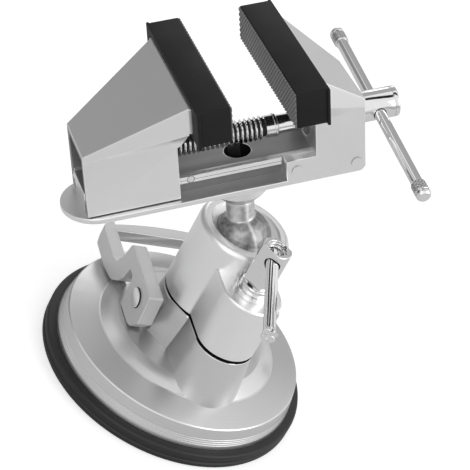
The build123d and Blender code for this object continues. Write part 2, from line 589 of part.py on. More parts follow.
def jaw_nut():
    """Nut block held between two ribs inside the moving jaw."""
    low_x, high_x = NUT_BLOCK_X
    block = slab(low_x, high_x, -SKIRT_IN, SKIRT_IN, RAIL_TOP_Z + SLIDE_GAP, SKIRT_TOP_Z - 0.5)
    return block - rod_x(THREAD_R + RUN_FIT, low_x - 1, high_x + 1, 0, SCREW_Z)


placement = Pos(0, 0, BALL_Z) * Rot(0, 0, LEAN_AZ) * Rot(0, -LEAN, 0) * Rot(0, 0, SPIN)
placement = placement * Pos(0, 0, BED_H)

base_parts = {
    "suction_pad": suction_pad(),
    "base_casting": base_casting(),
    "upper_housing": upper_housing(),
    "ball_seat": ball_seat(),
    "clamp_stud": clamp_stud(),
    "clamp_washer": clamp_washer(),
    "clamp_nut": clamp_nut(),
    "clamp_bar": clamp_bar(),
    "pull_stem": pull_stem(),
    "lever_pin": lever_pin(),
    "lever": lever(),
}

head_parts = {
    "ball_stud": ball_stud(),
    "stud_screw": stud_screw(),
    "bed_casting": bed_casting(),
    "front_rail": guide_rail(-1),
    "rear_rail": guide_rail(1),
    "rail_pins": rail_pins(),
    "fixed_jaw_cap": jaw_cap(FIXED_FACE_X, 1),
    "thrust_washer": ring_x(BED_RIGHT_X, HUB_LEFT_X - SLIDE_GAP, SHANK_R + RUN_FIT, HUB_R + 0.6),
    "lead_screw": lead_screw(),
    "screw_hub": screw_hub(),
    "retaining_ring": ring_x(CHEEK_X + 0.1, CHEEK_X + 1.3, SHANK_R, HUB_R),
    "handle_bar": handle_bar(),
    "handle_knobs": handle_knobs(),
    "moving_jaw": moving_jaw(),
    "jaw_nut": jaw_nut(),
    "moving_jaw_cap": jaw_cap(FIXED_FACE_X - JAW_OPENING, -1),
}

for name, part in base_parts.items():
    export_step(part, f"parts/{name}.step")

for name, part in head_parts.items():
    export_step(placement * part, f"parts/{name}.step")
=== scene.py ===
import logging
import math
from dataclasses import dataclass
from enum import Enum
from typing import Any, Callable, Sequence

import bmesh
import bpy
from mathutils import Euler, Matrix, Vector
from mathutils.bvhtree import BVHTree


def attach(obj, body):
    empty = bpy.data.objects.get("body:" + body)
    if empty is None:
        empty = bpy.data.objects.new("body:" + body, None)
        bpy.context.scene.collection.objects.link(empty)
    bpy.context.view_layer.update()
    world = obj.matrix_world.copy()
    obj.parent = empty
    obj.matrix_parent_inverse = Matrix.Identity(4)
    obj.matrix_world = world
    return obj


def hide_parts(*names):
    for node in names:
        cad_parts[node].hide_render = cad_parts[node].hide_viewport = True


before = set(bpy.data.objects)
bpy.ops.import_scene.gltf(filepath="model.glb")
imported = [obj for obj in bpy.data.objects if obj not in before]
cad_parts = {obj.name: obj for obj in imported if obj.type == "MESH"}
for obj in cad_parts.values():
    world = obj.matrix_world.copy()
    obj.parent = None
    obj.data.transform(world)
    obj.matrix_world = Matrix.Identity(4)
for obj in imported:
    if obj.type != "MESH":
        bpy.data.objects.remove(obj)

LOG = logging.getLogger("suction_vise")
MM = 0.001
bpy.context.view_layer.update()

Point = tuple[float, float]
Triple = tuple[float, float, float]
Rule = Callable[[Vector, Vector], bool]


def turned(degrees: float, axis: str) -> Matrix:
    """Give a turn about an axis."""
    return Matrix.Rotation(math.radians(degrees), 4, axis)


def moved(x: float = 0.0, y: float = 0.0, z: float = 0.0) -> Matrix:
    """Give a move."""
    return Matrix.Translation((x, y, z))


# Millimetres and degrees, as in the part's source.
BALL_HEIGHT = 79.7
LEAN_AZIMUTH = -23.1
LEAN = 26.4
SPIN = 23.06
BED_ABOVE_BALL = 31.5
SEAM_AZIMUTH = -78.0
BORE_PLAY = 0.05
# The least part of a face's normal along an axis that makes it face that way, broken edges
# included, and the least without them.
SQUARE_ON = 0.9
FLUSH = 0.95

METRES = Matrix.Identity(4)
WORLD = Matrix.Scale(MM, 4)
HEAD = (
    WORLD
    @ moved(z=BALL_HEIGHT)
    @ turned(LEAN_AZIMUTH, "Z")
    @ turned(-LEAN, "Y")
    @ turned(SPIN, "Z")
    @ moved(z=BED_ABOVE_BALL)
)
HEAD_INVERSE = (HEAD @ Matrix.Scale(1 / MM, 4)).inverted()
HEAD_TURN = HEAD_INVERSE.to_euler()


# ------------------------------------------------------------------ node graphs


class Value:
    """A node socket that takes part in ordinary arithmetic."""

    def __init__(self, graph: "Graph", socket: bpy.types.NodeSocket) -> None:
        """Wrap one output socket of a graph."""
        self.graph = graph
        self.socket = socket

    def maths(self, operation: str, *others: "Value | float", flip: bool = False) -> "Value":
        """Put this value and others through one Math node.

        Args:
            operation: The Math node's operation.
            others: The further operands.
            flip: True where this value is the second operand.

        Returns:
            The node's result.
        """
        operands = [self, *others]
        if flip:
            operands.reverse()
        return self.graph.value("ShaderNodeMath", dict(enumerate(operands)), {"operation": operation})

    def __add__(self, other: "Value | float") -> "Value":
        """Sum."""
        return self.maths("ADD", other)

    def __sub__(self, other: "Value | float") -> "Value":
        """Difference."""
        return self.maths("SUBTRACT", other)

    def __rsub__(self, other: "Value | float") -> "Value":
        """Difference from a number."""
        return self.maths("SUBTRACT", other, flip=True)

    def __mul__(self, other: "Value | float") -> "Value":
        """Product."""
        return self.maths("MULTIPLY", other)

    def __truediv__(self, other: "Value | float") -> "Value":
        """Quotient."""
        return self.maths("DIVIDE", other)

    __radd__ = __add__
    __rmul__ = __mul__

    def spread(self, low: float, high: float) -> "Value":
        """Map 0 to 1 onto low to high."""
        return self * (high - low) + low

    def around(self, middle: float, reach: float) -> "Value":
        """Map 0 to 1 onto a reach below and above a middle."""
        return self.spread(middle - reach, middle + reach)


class Graph:
    """Nodes and links of one tree, for materials and for geometry alike."""

    def __init__(self, tree: bpy.types.NodeTree) -> None:
        """Hold the tree that the nodes go into."""
        self.tree = tree

    def node(
        self,
        kind: str,
        inputs: dict[str | int, Any] | None = None,
        settings: dict[str, Any] | None = None,
    ) -> bpy.types.Node:
        """Add one node.

        Args:
            kind: The node's type name.
            inputs: Values or links for its sockets, by name or number.
            settings: Its properties, which are set first.

        Returns:
            The new node.
        """
        made = self.tree.nodes.new(kind)
        for key, setting in (settings or {}).items():
            setattr(made, key, setting)
        for key, entry in (inputs or {}).items():
            self.feed(made.inputs[key], entry)
        return made

    def value(
        self,
        kind: str,
        inputs: dict[str | int, Any] | None = None,
        settings: dict[str, Any] | None = None,
        output: str | int = 0,
    ) -> Value:
        """Add one node and take one of its outputs."""
        return Value(self, self.node(kind, inputs, settings).outputs[output])

    def feed(self, socket: bpy.types.NodeSocket, entry: Any) -> None:
        """Link or set one input socket."""
        if isinstance(entry, Value):
            self.tree.links.new(entry.socket, socket)
        else:
            socket.default_value = entry

    def vector(self, x: Value | float = 0.0, y: Value | float = 0.0, z: Value | float = 0.0) -> Value:
        """Combine three numbers."""
        return self.value("ShaderNodeCombineXYZ", {"X": x, "Y": y, "Z": z})

    def parts(self, vector: Value) -> list[Value]:
        """Split a vector into its three numbers."""
        return [Value(self, part) for part in self.node("ShaderNodeSeparateXYZ", {0: vector}).outputs]


class GeometryTree(Graph):
    """A Geometry Nodes tree with named inputs, used once on a carrier object."""

    def __init__(self, name: str) -> None:
        """Make an empty tree with a geometry output."""
        super().__init__(bpy.data.node_groups.new(name, "GeometryNodeTree"))
        self.tree.interface.new_socket("Geometry", in_out="OUTPUT", socket_type="NodeSocketGeometry")
        self._amounts: dict[str, float | int] = {}
        self._inputs = self.tree.nodes.new("NodeGroupInput")

    def size(self, name: str, amount: float | int) -> Value:
        """Declare a named input and the amount that this object uses.

        Args:
            name: The input's name.
            amount: The amount, whole for a count.

        Returns:
            The input inside the tree.
        """
        kind = "NodeSocketInt" if isinstance(amount, int) else "NodeSocketFloat"
        socket = self.tree.interface.new_socket(name, in_out="INPUT", socket_type=kind)
        self._amounts[socket.identifier] = amount
        return Value(self, self._inputs.outputs[name])

    def grow(self, geometry: Value, finish: "Finish") -> bpy.types.Mesh:
        """Finish the tree, run it once and give the plain mesh that it makes.

        Args:
            geometry: The last geometry in the tree.
            finish: The finish that Set Material gives.

        Returns:
            A mesh with no modifier behind it.
        """
        real = self.value("GeometryNodeRealizeInstances", {"Geometry": geometry})
        dressed = self.value("GeometryNodeSetMaterial", {"Geometry": real, "Material": finish.material()})
        self.node("NodeGroupOutput", {0: dressed})
        carrier = linked(bpy.data.objects.new(self.tree.name, bpy.data.meshes.new(self.tree.name)))
        modifier = carrier.modifiers.new("grow", "NODES")
        modifier.node_group = self.tree
        for identifier, amount in self._amounts.items():
            modifier[identifier] = amount
        mesh = evaluated_mesh(carrier)
        bpy.data.objects.remove(carrier)
        return mesh


class Surface(Graph):
    """The nodes of one material, round its shader."""

    def __init__(self, name: str) -> None:
        """Make the material, with nothing varied over it yet."""
        self.material = bpy.data.materials.new(name)
        self.material.use_nodes = True
        super().__init__(self.material.node_tree)
        self.shader = self.tree.nodes["Principled BSDF"]

    def noise(self, place: Value, scale: float, detail: float = 3.0) -> Value:
        """Give soft noise from 0 to 1 at a scale in features per metre."""
        inputs = {"Vector": place, "Scale": scale, "Detail": detail}
        return self.value("ShaderNodeTexNoise", inputs, {"noise_dimensions": "3D"}, "Fac")

    def mapped(self, place: Value, **changes: Any) -> Value:
        """Move, turn or stretch a point."""
        return self.value("ShaderNodeMapping", {"Vector": place, **changes}, {"vector_type": "POINT"})

    def grey(self, level: Value) -> Value:
        """Give the colour of a grey level."""
        return self.value("ShaderNodeCombineColor", {"Red": level, "Green": level, "Blue": level})

    def swap_shader(self, other: Value) -> None:
        """Put another shader in the place of the first one."""
        self.tree.nodes.remove(self.shader)
        self.feed(self.tree.nodes["Material Output"].inputs["Surface"], other)


# --------------------------------------------------------------------- finishes


# Grey level, roughness, height from 0 to 1 and what 1 is in metres.
Layers = tuple[Value, Value, Value, float]


@dataclass(frozen=True)
class Finish:
    """A finish; each kind of surface has its own layers."""

    name: str
    grey: float
    roughness: float
    metallic: float = 1.0
    specular: float = 0.5

    def material(self) -> bpy.types.Material:
        """Give this finish's material, made on its first use."""
        known = bpy.data.materials.get(self.name)
        if known is not None:
            return known
        surface = Surface(self.name)
        place = surface.value("ShaderNodeTexCoord", output="Object")
        tone, roughness, height, depth = self.layers(surface, place)
        entries = {
            "Base Color": surface.grey(tone),
            "Roughness": roughness,
            "Normal": surface.value("ShaderNodeBump", {"Height": height, "Distance": depth, "Strength": 1.0}),
            "Metallic": self.metallic,
            "Specular IOR Level": self.specular,
        }
        for socket, entry in entries.items():
            surface.feed(surface.shader.inputs[socket], entry)
        surface.material.diffuse_color = (self.grey, self.grey, self.grey, 1.0)
        return surface.material

    def layers(self, surface: Surface, place: Value) -> Layers:
        """Lay out what varies over the piece.

        Args:
            surface: The surface that the nodes go into.
            place: The point on the piece, in metres.

        Returns:
            The grey level, the roughness, the height from 0 to 1 and what 1 is in metres.
        """
        raise NotImplementedError


@dataclass(frozen=True)
class CastMetal(Finish):
    """Satin die casting: cloudy tone, fine grain."""

    clouds: float = 38.0
    cloud_depth: float = 0.03
    grain: float = 2600.0
    grain_depth: float = 0.000006
    grain_tone: float = 0.05
    gloss_change: float = 0.05

    def layers(self, surface: Surface, place: Value) -> Layers:
        """Cloud the tone and the gloss, and roughen the surface a little."""
        cloud = surface.noise(place, self.clouds)
        speck = surface.noise(place, self.grain, 2.0)
        tone = cloud.around(self.grey, self.cloud_depth) + (speck - 0.5) * self.grain_tone
        return tone, cloud.around(self.roughness, -self.gloss_change), speck, self.grain_depth


@dataclass(frozen=True)
class TurnedMetal(Finish):
    """Casting faced on a lathe: fine rings round the vertical axis, on a cloudy tone."""

    clouds: float = 38.0
    cloud_depth: float = 0.03
    ring_scale: float = 1500.0
    ring_depth: float = 0.00001
    ring_tone: float = 0.06
    gloss_change: float = 0.05

    def layers(self, surface: Surface, place: Value) -> Layers:
        """Lay rings of noise round the axis."""
        x, y, z = surface.parts(place)
        radius = (x * x + y * y).maths("SQRT")
        rings = surface.noise(surface.vector(radius, 0.0, z), self.ring_scale, 2.0)
        cloud = surface.noise(place, self.clouds)
        tone = cloud.around(self.grey, self.cloud_depth) + (rings - 0.5) * self.ring_tone
        return tone, rings.around(self.roughness, self.gloss_change), rings, self.ring_depth


@dataclass(frozen=True)
class DrawnMetal(Finish):
    """Rail with long fine lines along the head."""

    stretch: Triple = (0.02, 1.0, 1.0)
    line_scale: float = 2400.0
    line_depth: float = 0.000004
    contrast: float = 0.05

    def layers(self, surface: Surface, place: Value) -> Layers:
        """Stretch noise along the drawing direction."""
        along = surface.mapped(surface.mapped(place, Rotation=HEAD_TURN), Scale=self.stretch)
        lines = surface.noise(along, self.line_scale, 2.0)
        rough = lines.spread(self.roughness * 0.8, self.roughness * 1.3)
        return lines.around(self.grey, self.contrast), rough, lines, self.line_depth


@dataclass(frozen=True)
class PlatedMetal(Finish):
    """Bright plating with faint waviness and a few dull spots."""

    wave: float = 130.0
    wave_depth: float = 0.00003
    spots_per_wave: float = 6.0

    def layers(self, surface: Surface, place: Value) -> Layers:
        """Ripple the mirror and dull it here and there."""
        dull = surface.noise(place, self.wave * self.spots_per_wave)
        tone = dull.spread(self.grey - 0.05, self.grey + 0.03)
        rough = dull.spread(self.roughness * 0.6, self.roughness * 1.5)
        return tone, rough, surface.noise(place, self.wave, 2.0), self.wave_depth


@dataclass(frozen=True)
class BallSteel(Finish):
    """Tumbled steel with mottled gloss, a dressed parting seam and a lighter neck."""

    seam_half_width: float = 0.0011
    seam_tone: float = 0.35
    blotch: float = 560.0
    neck_foot: float = -0.0205
    neck_tone: float = 0.3
    skin_depth: float = 0.00008

    def layers(self, surface: Surface, place: Value) -> Layers:
        """Mottle the tone and lay a lighter band where the seam was dressed."""
        local = surface.mapped(place, Location=HEAD_INVERSE.translation, Rotation=HEAD_TURN)
        blotch = surface.noise(local, self.blotch, 5.0)
        fine = surface.noise(local, self.blotch * 5, 2.0)
        x, y, z = surface.parts(local)
        cosine, sine = math.cos(math.radians(SEAM_AZIMUTH)), math.sin(math.radians(SEAM_AZIMUTH))
        across = (y * cosine - x * sine).maths("ABSOLUTE")
        front = (x * cosine + y * sine).maths("GREATER_THAN", 0.0)
        band = front * (1.0 - (across / self.seam_half_width).maths("SMOOTH_MIN", 1.0, 0.3))
        neck = z.maths("GREATER_THAN", self.neck_foot)
        mottle = blotch.spread(self.grey - 0.3, self.grey + 0.25)
        tone = mottle + band * self.seam_tone + neck * self.neck_tone + (fine - 0.5) * 0.08
        rough = blotch.spread(self.roughness - 0.08, self.roughness + 0.12) + band * 0.15
        return tone, rough, blotch + band * 0.5 + fine * 0.2, self.skin_depth


@dataclass(frozen=True)
class Rubber(Finish):
    """Black rubber with a fine moulded texture and a little bloom."""

    metallic: float = 0.0
    dust: float = 55.0
    bloom: float = 0.004
    grain: float = 1500.0
    grain_tone: float = 0.006
    grain_depth: float = 0.00002
    gloss_change: float = 0.08

    def layers(self, surface: Surface, place: Value) -> Layers:
        """Dust the rubber unevenly and give it a fine skin."""
        dust = surface.noise(place, self.dust, 5.0)
        skin = surface.noise(place, self.grain)
        tone = dust.around(self.grey, self.bloom) + (skin - 0.5) * self.grain_tone
        return tone, dust.around(self.roughness, -self.gloss_change), skin, self.grain_depth


CASTING = CastMetal("satin_casting", 0.92, 0.36)
HEAD_CASTING = CastMetal("head_casting", 0.86, 0.34, clouds=26.0)
TURNED = TurnedMetal("turned_casting", 0.70, 0.32)
LEVER_METAL = CastMetal("lever_casting", 0.68, 0.42, metallic=0.35)
# The lever's broken edges are lighter and glossier than its faces: a painted highlight.
LEVER_EDGE_HIGHLIGHT = CastMetal("lever_painted_edge_highlight", 0.75, 0.3, metallic=0.6)
# Brighter metal on broken edges and on a few corners: a painted highlight.
EDGE_HIGHLIGHT = CastMetal("painted_edge_highlight", 0.95, 0.3)
PIN_STEEL = CastMetal("pin_finish", 0.95, 0.3)
# Dark metal on the sides of the web under the rails: painted shade.
SHADED_STEEL = CastMetal("painted_shade_recess", 0.22, 0.5)
# Near-black metal on faces in holes, slits, gaps and thread roots: painted shade.
PAINTED_SHADE = CastMetal("painted_shade_black", 0.04, 0.7)
# Darker casting on the bed's floor, round its discs and inside the jaw's hollow: painted shade.
SHADE_CASTING = CastMetal("painted_shade_casting", 0.36, 0.5)
CHROME = PlatedMetal("bright_chrome", 0.80, 0.08)
KNURLED = PlatedMetal("knurled_chrome", 0.5, 0.2)
SCREW_STEEL = PlatedMetal("screw_steel", 0.82, 0.12, wave=400.0)
WASHER_STEEL = PlatedMetal("washer_steel", 0.8, 0.16)
RAIL_STEEL = DrawnMetal("rail_finish", 0.95, 0.28)
BALL_FINISH = BallSteel("blotched_steel", 0.34, 0.33)
RUBBER = Rubber("black_rubber", 0.010, 0.6, specular=0.22)
# The ribs are much lighter than the cap's rubber: a painted sheen.
RIB_RUBBER_SHEEN = Rubber("rib_painted_sheen_rubber", 0.2, 0.45)
PAD_RUBBER = Rubber("pad_rubber", 0.014, 0.5)
NYLON = Rubber("white_nylon", 0.55, 0.5)


# ----------------------------------------------------------------- mesh helpers


def linked(obj: bpy.types.Object) -> bpy.types.Object:
    """Put an object into the scene."""
    bpy.context.scene.collection.objects.link(obj)
    return obj


def evaluated_mesh(obj: bpy.types.Object) -> bpy.types.Mesh:
    """Give the plain mesh that an object's modifiers make."""
    bpy.context.view_layer.update()
    graph = bpy.context.evaluated_depsgraph_get()
    return bpy.data.meshes.new_from_object(obj.evaluated_get(graph), depsgraph=graph)


def modified(obj: bpy.types.Object, kind: str, **settings: Any) -> bpy.types.Object:
    """Run one modifier on an object and keep the plain mesh that it makes."""
    modifier = obj.modifiers.new(kind.title(), kind)
    for key, setting in settings.items():
        setattr(modifier, key, setting)
    mesh = evaluated_mesh(obj)
    obj.modifiers.clear()
    obj.data = mesh
    return obj


def as_object(name: str, mesh: bmesh.types.BMesh, frame_matrix: Matrix = WORLD) -> bpy.types.Object:
    """Turn a mesh drawn in millimetres into an object with its place in its mesh.

    Args:
        name: The object's name.
        mesh: The mesh, which is freed.
        frame_matrix: The frame that it was drawn in.

    Returns:
        The linked object, at the origin.
    """
    bmesh.ops.transform(mesh, matrix=frame_matrix, verts=mesh.verts)
    data = bpy.data.meshes.new(name)
    mesh.to_mesh(data)
    mesh.free()
    return linked(bpy.data.objects.new(name, data))


def painted(obj: bpy.types.Object, finish: Finish) -> bpy.types.Object:
    """Give a whole piece one finish."""
    obj.data.materials.clear()
    obj.data.materials.append(finish.material())
    for face in obj.data.polygons:
        face.material_index = 0
    return obj


def shade(obj: bpy.types.Object, sharp_angle: float = 35.0) -> bpy.types.Object:
    """Shade an object smooth, with edges sharper than an angle kept crisp."""
    mesh = obj.data
    mesh.polygons.foreach_set("use_smooth", [True] * len(mesh.polygons))
    mesh.set_sharp_from_angle(angle=math.radians(sharp_angle))
    return obj


def lathe(
    profile: Sequence[Point],
    segments: int = 96,
    radius_at: Callable[[float, float, float], float] | None = None,
) -> bmesh.types.BMesh:
    """Turn a closed shape about Z.

    Args:
        profile: (radius, height) points, from the axis or round a ring.
        segments: The number of steps round.
        radius_at: A rule from (radius, height, angle) to the real radius.

    Returns:
        The closed mesh, in the profile's units.
    """
    mesh = bmesh.new()
    rings = []
    for radius, height in profile:
        if radius == 0:
            rings.append([mesh.verts.new((0, 0, height))] * segments)
            continue
        ring = []
        for step in range(segments):
            angle = math.tau * step / segments
            real = radius_at(radius, height, angle) if radius_at else radius
            ring.append(mesh.verts.new((real * math.cos(angle), real * math.sin(angle), height)))
        rings.append(ring)
    if profile[0][0] > 0 and profile[-1][0] > 0:
        rings.append(rings[0])
    for low, high in zip(rings, rings[1:]):
        for step in range(segments):
            after = (step + 1) % segments
            corners = dict.fromkeys((low[step], low[after], high[after], high[step]))
            if len(corners) > 2:
                mesh.faces.new(tuple(corners))
    bmesh.ops.recalc_face_normals(mesh, faces=mesh.faces)
    return mesh


def rod(radius: float, reach: float, segments: int = 64) -> bmesh.types.BMesh:
    """Solid rod along Z that reaches as far both ways."""
    return lathe([(0, -reach), (radius, -reach), (radius, reach), (0, reach)], segments)


def arc(centre: Point, radius: float, start: float, end: float, steps: int) -> list[Point]:
    """Give points of a round stretch, with angles in degrees."""
    angles = [math.radians(start + (end - start) * step / steps) for step in range(steps + 1)]
    return [(centre[0] + radius * math.cos(a), centre[1] + radius * math.sin(a)) for a in angles]


def block(low: Sequence[float], high: Sequence[float]) -> bmesh.types.BMesh:
    """Box between two corners."""
    mesh = bmesh.new()
    size = Vector(high) - Vector(low)
    centre = (Vector(high) + Vector(low)) / 2
    bmesh.ops.create_cube(mesh, size=1.0, matrix=Matrix.Translation(centre) @ Matrix.Diagonal((*size, 1)))
    return mesh


def along_x(height: float = 0.0) -> Matrix:
    """Turn a lathe's axis onto X at a height."""
    return moved(z=height) @ turned(90, "Y")


def slice_mesh(mesh: bmesh.types.BMesh, point: Triple, normal: Triple, **options: bool) -> dict[str, Any]:
    """Cut a whole mesh along a plane, and give what the cut made."""
    parts = [*mesh.verts, *mesh.edges, *mesh.faces]
    return bmesh.ops.bisect_plane(mesh, geom=parts, plane_co=point, plane_no=normal, **options)


def bevel(obj: bpy.types.Object, width: float, segments: int = 2, angle: float = 35.0) -> bpy.types.Object:
    """Round an object's sharp edges by a width in millimetres."""
    limit = {"limit_method": "ANGLE", "angle_limit": math.radians(angle)}
    return modified(obj, "BEVEL", width=width * MM, segments=segments, **limit)


def cut(obj: bpy.types.Object, tool: bpy.types.Object, operation: str = "DIFFERENCE") -> None:
    """Cut one object with another, which is then removed."""
    modified(obj, "BOOLEAN", operation=operation, solver="EXACT", object=tool)
    bpy.data.objects.remove(tool)


def released(obj: bpy.types.Object) -> bpy.types.Mesh:
    """Take an object's mesh and let the object go."""
    mesh = obj.data
    bpy.data.objects.remove(obj)
    return mesh


def join_meshes(name: str, *meshes: bpy.types.Mesh) -> bpy.types.Object:
    """Put several finished meshes into one object, each face with its own finish."""
    whole = bmesh.new()
    finishes: list[bpy.types.Material] = []
    for mesh in meshes:
        first = len(whole.faces)
        whole.from_mesh(mesh)
        whole.faces.ensure_lookup_table()
        finishes += [finish for finish in mesh.materials if finish not in finishes]
        places = [finishes.index(finish) for finish in mesh.materials]
        for face in whole.faces[first:]:
            face.material_index = places[min(face.material_index, len(places) - 1)]
    made = as_object(name, whole, METRES)
    for finish in finishes:
        made.data.materials.append(finish)
    return made


def mark_edges(
    mesh: bmesh.types.BMesh, width: float, crease: float, least: float = 12.0, sharp: float = 30.0
) -> None:
    """Give outer corners a bevel weight, and keep shallow creases between wide faces crisp.

    Args:
        mesh: The mesh, in metres.
        width: The width of a broken edge in millimetres.
        crease: The least width of the faces beside a crease that stays crisp, in millimetres.
        least: The least angle of a crease that stays crisp, in degrees.
        sharp: The least angle of a corner that is broken, in degrees.
    """
    weight = mesh.edges.layers.float.new("bevel_weight_edge")
    for edge in mesh.edges:
        angle = math.degrees(edge.calc_face_angle(0.0))
        length = max(edge.calc_length(), 1e-7)
        extent = min((face.calc_area() / length for face in edge.link_faces), default=0.0) / MM
        if angle > sharp and extent > 2.2 * width and edge.is_convex:
            edge[weight] = 1.0
        elif angle > sharp or (angle > least and extent > crease):
            edge.smooth = False


def rein_in(obj: bpy.types.Object, surface: BVHTree, reach: float) -> None:
    """Bring corners that a broken edge threw off a piece's surface back onto it.

    Args:
        obj: The piece.
        surface: The surface that it had with sharp edges.
        reach: The furthest that a corner may lie below that surface, in metres.
    """
    for vertex in obj.data.vertices:
        near, normal, _, distance = surface.find_nearest(vertex.co)
        if distance > reach or (distance > 1e-6 and (vertex.co - near).dot(normal) > 0.0):
            vertex.co = near


def softened(
    node: str,
    width: float,
    finish: Finish,
    edge_finish: Finish,
    weld: float = 0.002,
    crease: float = 1.5,
) -> bpy.types.Object:
    """Copy a casting from the frame with its edges broken.

    Args:
        node: The frame node.
        width: The width of the broken edge in millimetres.
        finish: Its surface.
        edge_finish: The surface of the broken edges, a painted highlight on the castings.
        weld: Corners closer than this become one, in millimetres.
        crease: The least width of the faces beside a crease that stays crisp.

    Returns:
        A new object, named after the node.
    """
    mesh = bmesh.new()
    mesh.from_mesh(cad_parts[node].data)
    verts, edges = mesh.verts, mesh.edges
    bmesh.ops.remove_doubles(mesh, verts=verts, dist=weld * MM)
    bmesh.ops.dissolve_degenerate(mesh, edges=edges, dist=0.002 * MM)
    bmesh.ops.dissolve_limit(mesh, angle_limit=math.radians(0.4), verts=verts, edges=edges)
    for face in mesh.faces:
        face.smooth = True
    mark_edges(mesh, width, crease)
    surface = BVHTree.FromBMesh(mesh)
    made = as_object(f"{node}_body", mesh, METRES)
    for each in (finish, edge_finish):
        made.data.materials.append(each.material())
    overlap = {"use_clamp_overlap": False, "loop_slide": True}
    # The bevel's faces take the edge finish, a painted highlight on the castings.
    modified(made, "BEVEL", limit_method="WEIGHT", width=width * MM, segments=2, material=1, **overlap)
    rein_in(made, surface, width * MM)
    return modified(made, "WEIGHTED_NORMAL", keep_sharp=True)


def painted_shading(obj: bpy.types.Object, dark: Finish, frame_matrix: Matrix, chosen: Rule) -> bpy.types.Object:
    """Give some faces of a piece another finish, here painted shade or a painted highlight.

    Args:
        obj: The piece, which already has a finish.
        dark: The finish of the chosen faces: painted shade, or a painted highlight on a few corners.
        frame_matrix: The frame that the rule works in, in millimetres.
        chosen: Tells from a face's centre and normal whether it is chosen.

    Returns:
        The same object.
    """
    index = len(obj.data.materials)
    obj.data.materials.append(dark.material())
    inverse = frame_matrix.inverted()
    turn = inverse.to_3x3().normalized()
    for face in obj.data.polygons:
        if chosen(inverse @ face.center, turn @ face.normal):
            face.material_index = index
    return obj


class Slot(Enum):
    """The record's material slots."""

    RUBBER = "rubber"
    CAST = "cast_metal"
    LEVER = "lever_metal"
    CHROME = "chrome"
    BALL = "ball_steel"
    STEEL = "steel"


@dataclass
class Assembly:
    """One sub-assembly that makes its pieces and hands them to the frame."""

    body: str

    def make(self) -> None:
        """Build every piece."""
        raise NotImplementedError

    def hand_over(self, piece: bpy.types.Object, node: str, slot: Slot, body: str | None = None) -> None:
        """Let a finished piece stand for a frame node and ride on a body.

        Args:
            piece: The finished object.
            node: The node that it stands for.
            slot: Its material slot in the record; not used.
            body: Its body where that isn't the sub-assembly's own.
        """
        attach(piece, body or self.body)
        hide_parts(node)
        LOG.info("%s stands for %s: %d faces", piece.name, node, len(piece.data.polygons))

    @staticmethod
    def dress(finish: Finish, *nodes: str) -> None:
        """Give frame nodes that keep their own shape a finish."""
        for node in nodes:
            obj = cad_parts[node]
            if not obj.material_slots:
                obj.data.materials.append(None)
            for slot in obj.material_slots:
                slot.material = finish.material()
            LOG.info("%s keeps its shape, finish %s", node, finish.name)


# --------------------------------------------------------------- sub-assemblies


@dataclass
class SuctionBase(Assembly):
    """Rubber pad and the round casting that stands on it."""

    body: str = "base"
    pad_radius: float = 60.0
    pad_rim_height: float = 7.0
    pad_floor: float = 5.0
    foot_rounding: float = 1.0
    rim_rounding: float = 1.2
    cavity_radius: float = 47.0
    boss_radius: float = 16.0
    boss_height: float = 11.2
    stem_radius: float = 5.3
    plate_radius: float = 13.1
    plate_top: float = 9.3
    groove_depth: float = 0.5
    slit_low: float = 43.4
    bore_radius: float = 13.0
    corner_radius: float = 40.85
    corner_half_width: float = 0.45
    corner_low: float = 17.0

    def make(self) -> None:
        """Build the pad and the casting."""
        pad = painted(as_object("suction_pad_rubber", lathe(self.pad_profile(), 180)), PAD_RUBBER)
        self.hand_over(shade(pad, 40), "suction_pad", Slot.RUBBER)
        # Painted highlight on the broken edges and the cone's corner, painted shade in the slit.
        casting = softened("base_casting", 0.3, TURNED, EDGE_HIGHLIGHT, crease=0.35)
        painted_shading(casting, PAINTED_SHADE, WORLD, self.in_slit)
        painted_shading(casting, EDGE_HIGHLIGHT, WORLD, self.on_corner)
        self.hand_over(casting, "base_casting", Slot.CAST)
        self.dress(WASHER_STEEL, "pull_stem")

    def in_slit(self, centre: Vector, normal: Vector) -> bool:
        """Tell the faces that can only be seen through the slit in the column, which get painted shade."""
        in_bore = math.hypot(centre.x, centre.y) < self.bore_radius
        return centre.z > self.slit_low and (normal.z > SQUARE_ON or in_bore)

    def on_corner(self, centre: Vector, normal: Vector) -> bool:
        """Tell the narrow faces on the corner where the cone meets the dish, which get a painted highlight.
        """
        off = abs(math.hypot(centre.x, centre.y) - self.corner_radius)
        return off < self.corner_half_width and centre.z > self.corner_low and normal.z > 0.3

    def pad_profile(self) -> list[Point]:
        """Outline of the pad, with a lip, a groove round its edge and a round foot."""
        edge, top, floor = self.pad_radius, self.pad_rim_height, self.pad_floor
        foot, rim, inner = self.foot_rounding, self.rim_rounding, self.pad_radius - self.groove_depth
        return [
            (0.0, 0.0), *arc((edge - foot, foot), foot, -90, 0, 5),
            (edge, 2.3), (inner, 2.8), (inner, 4.0), (edge, 4.5),
            *arc((edge - rim, top - rim), rim, 0, 90, 6),
            (self.cavity_radius, top), (self.cavity_radius - 3, floor),
            (self.boss_radius + 3, floor), (self.boss_radius, self.boss_height),
            (self.stem_radius, self.boss_height), (self.stem_radius, self.plate_top),
            (self.plate_radius, self.plate_top), (self.plate_radius, floor), (0.0, floor),
        ]


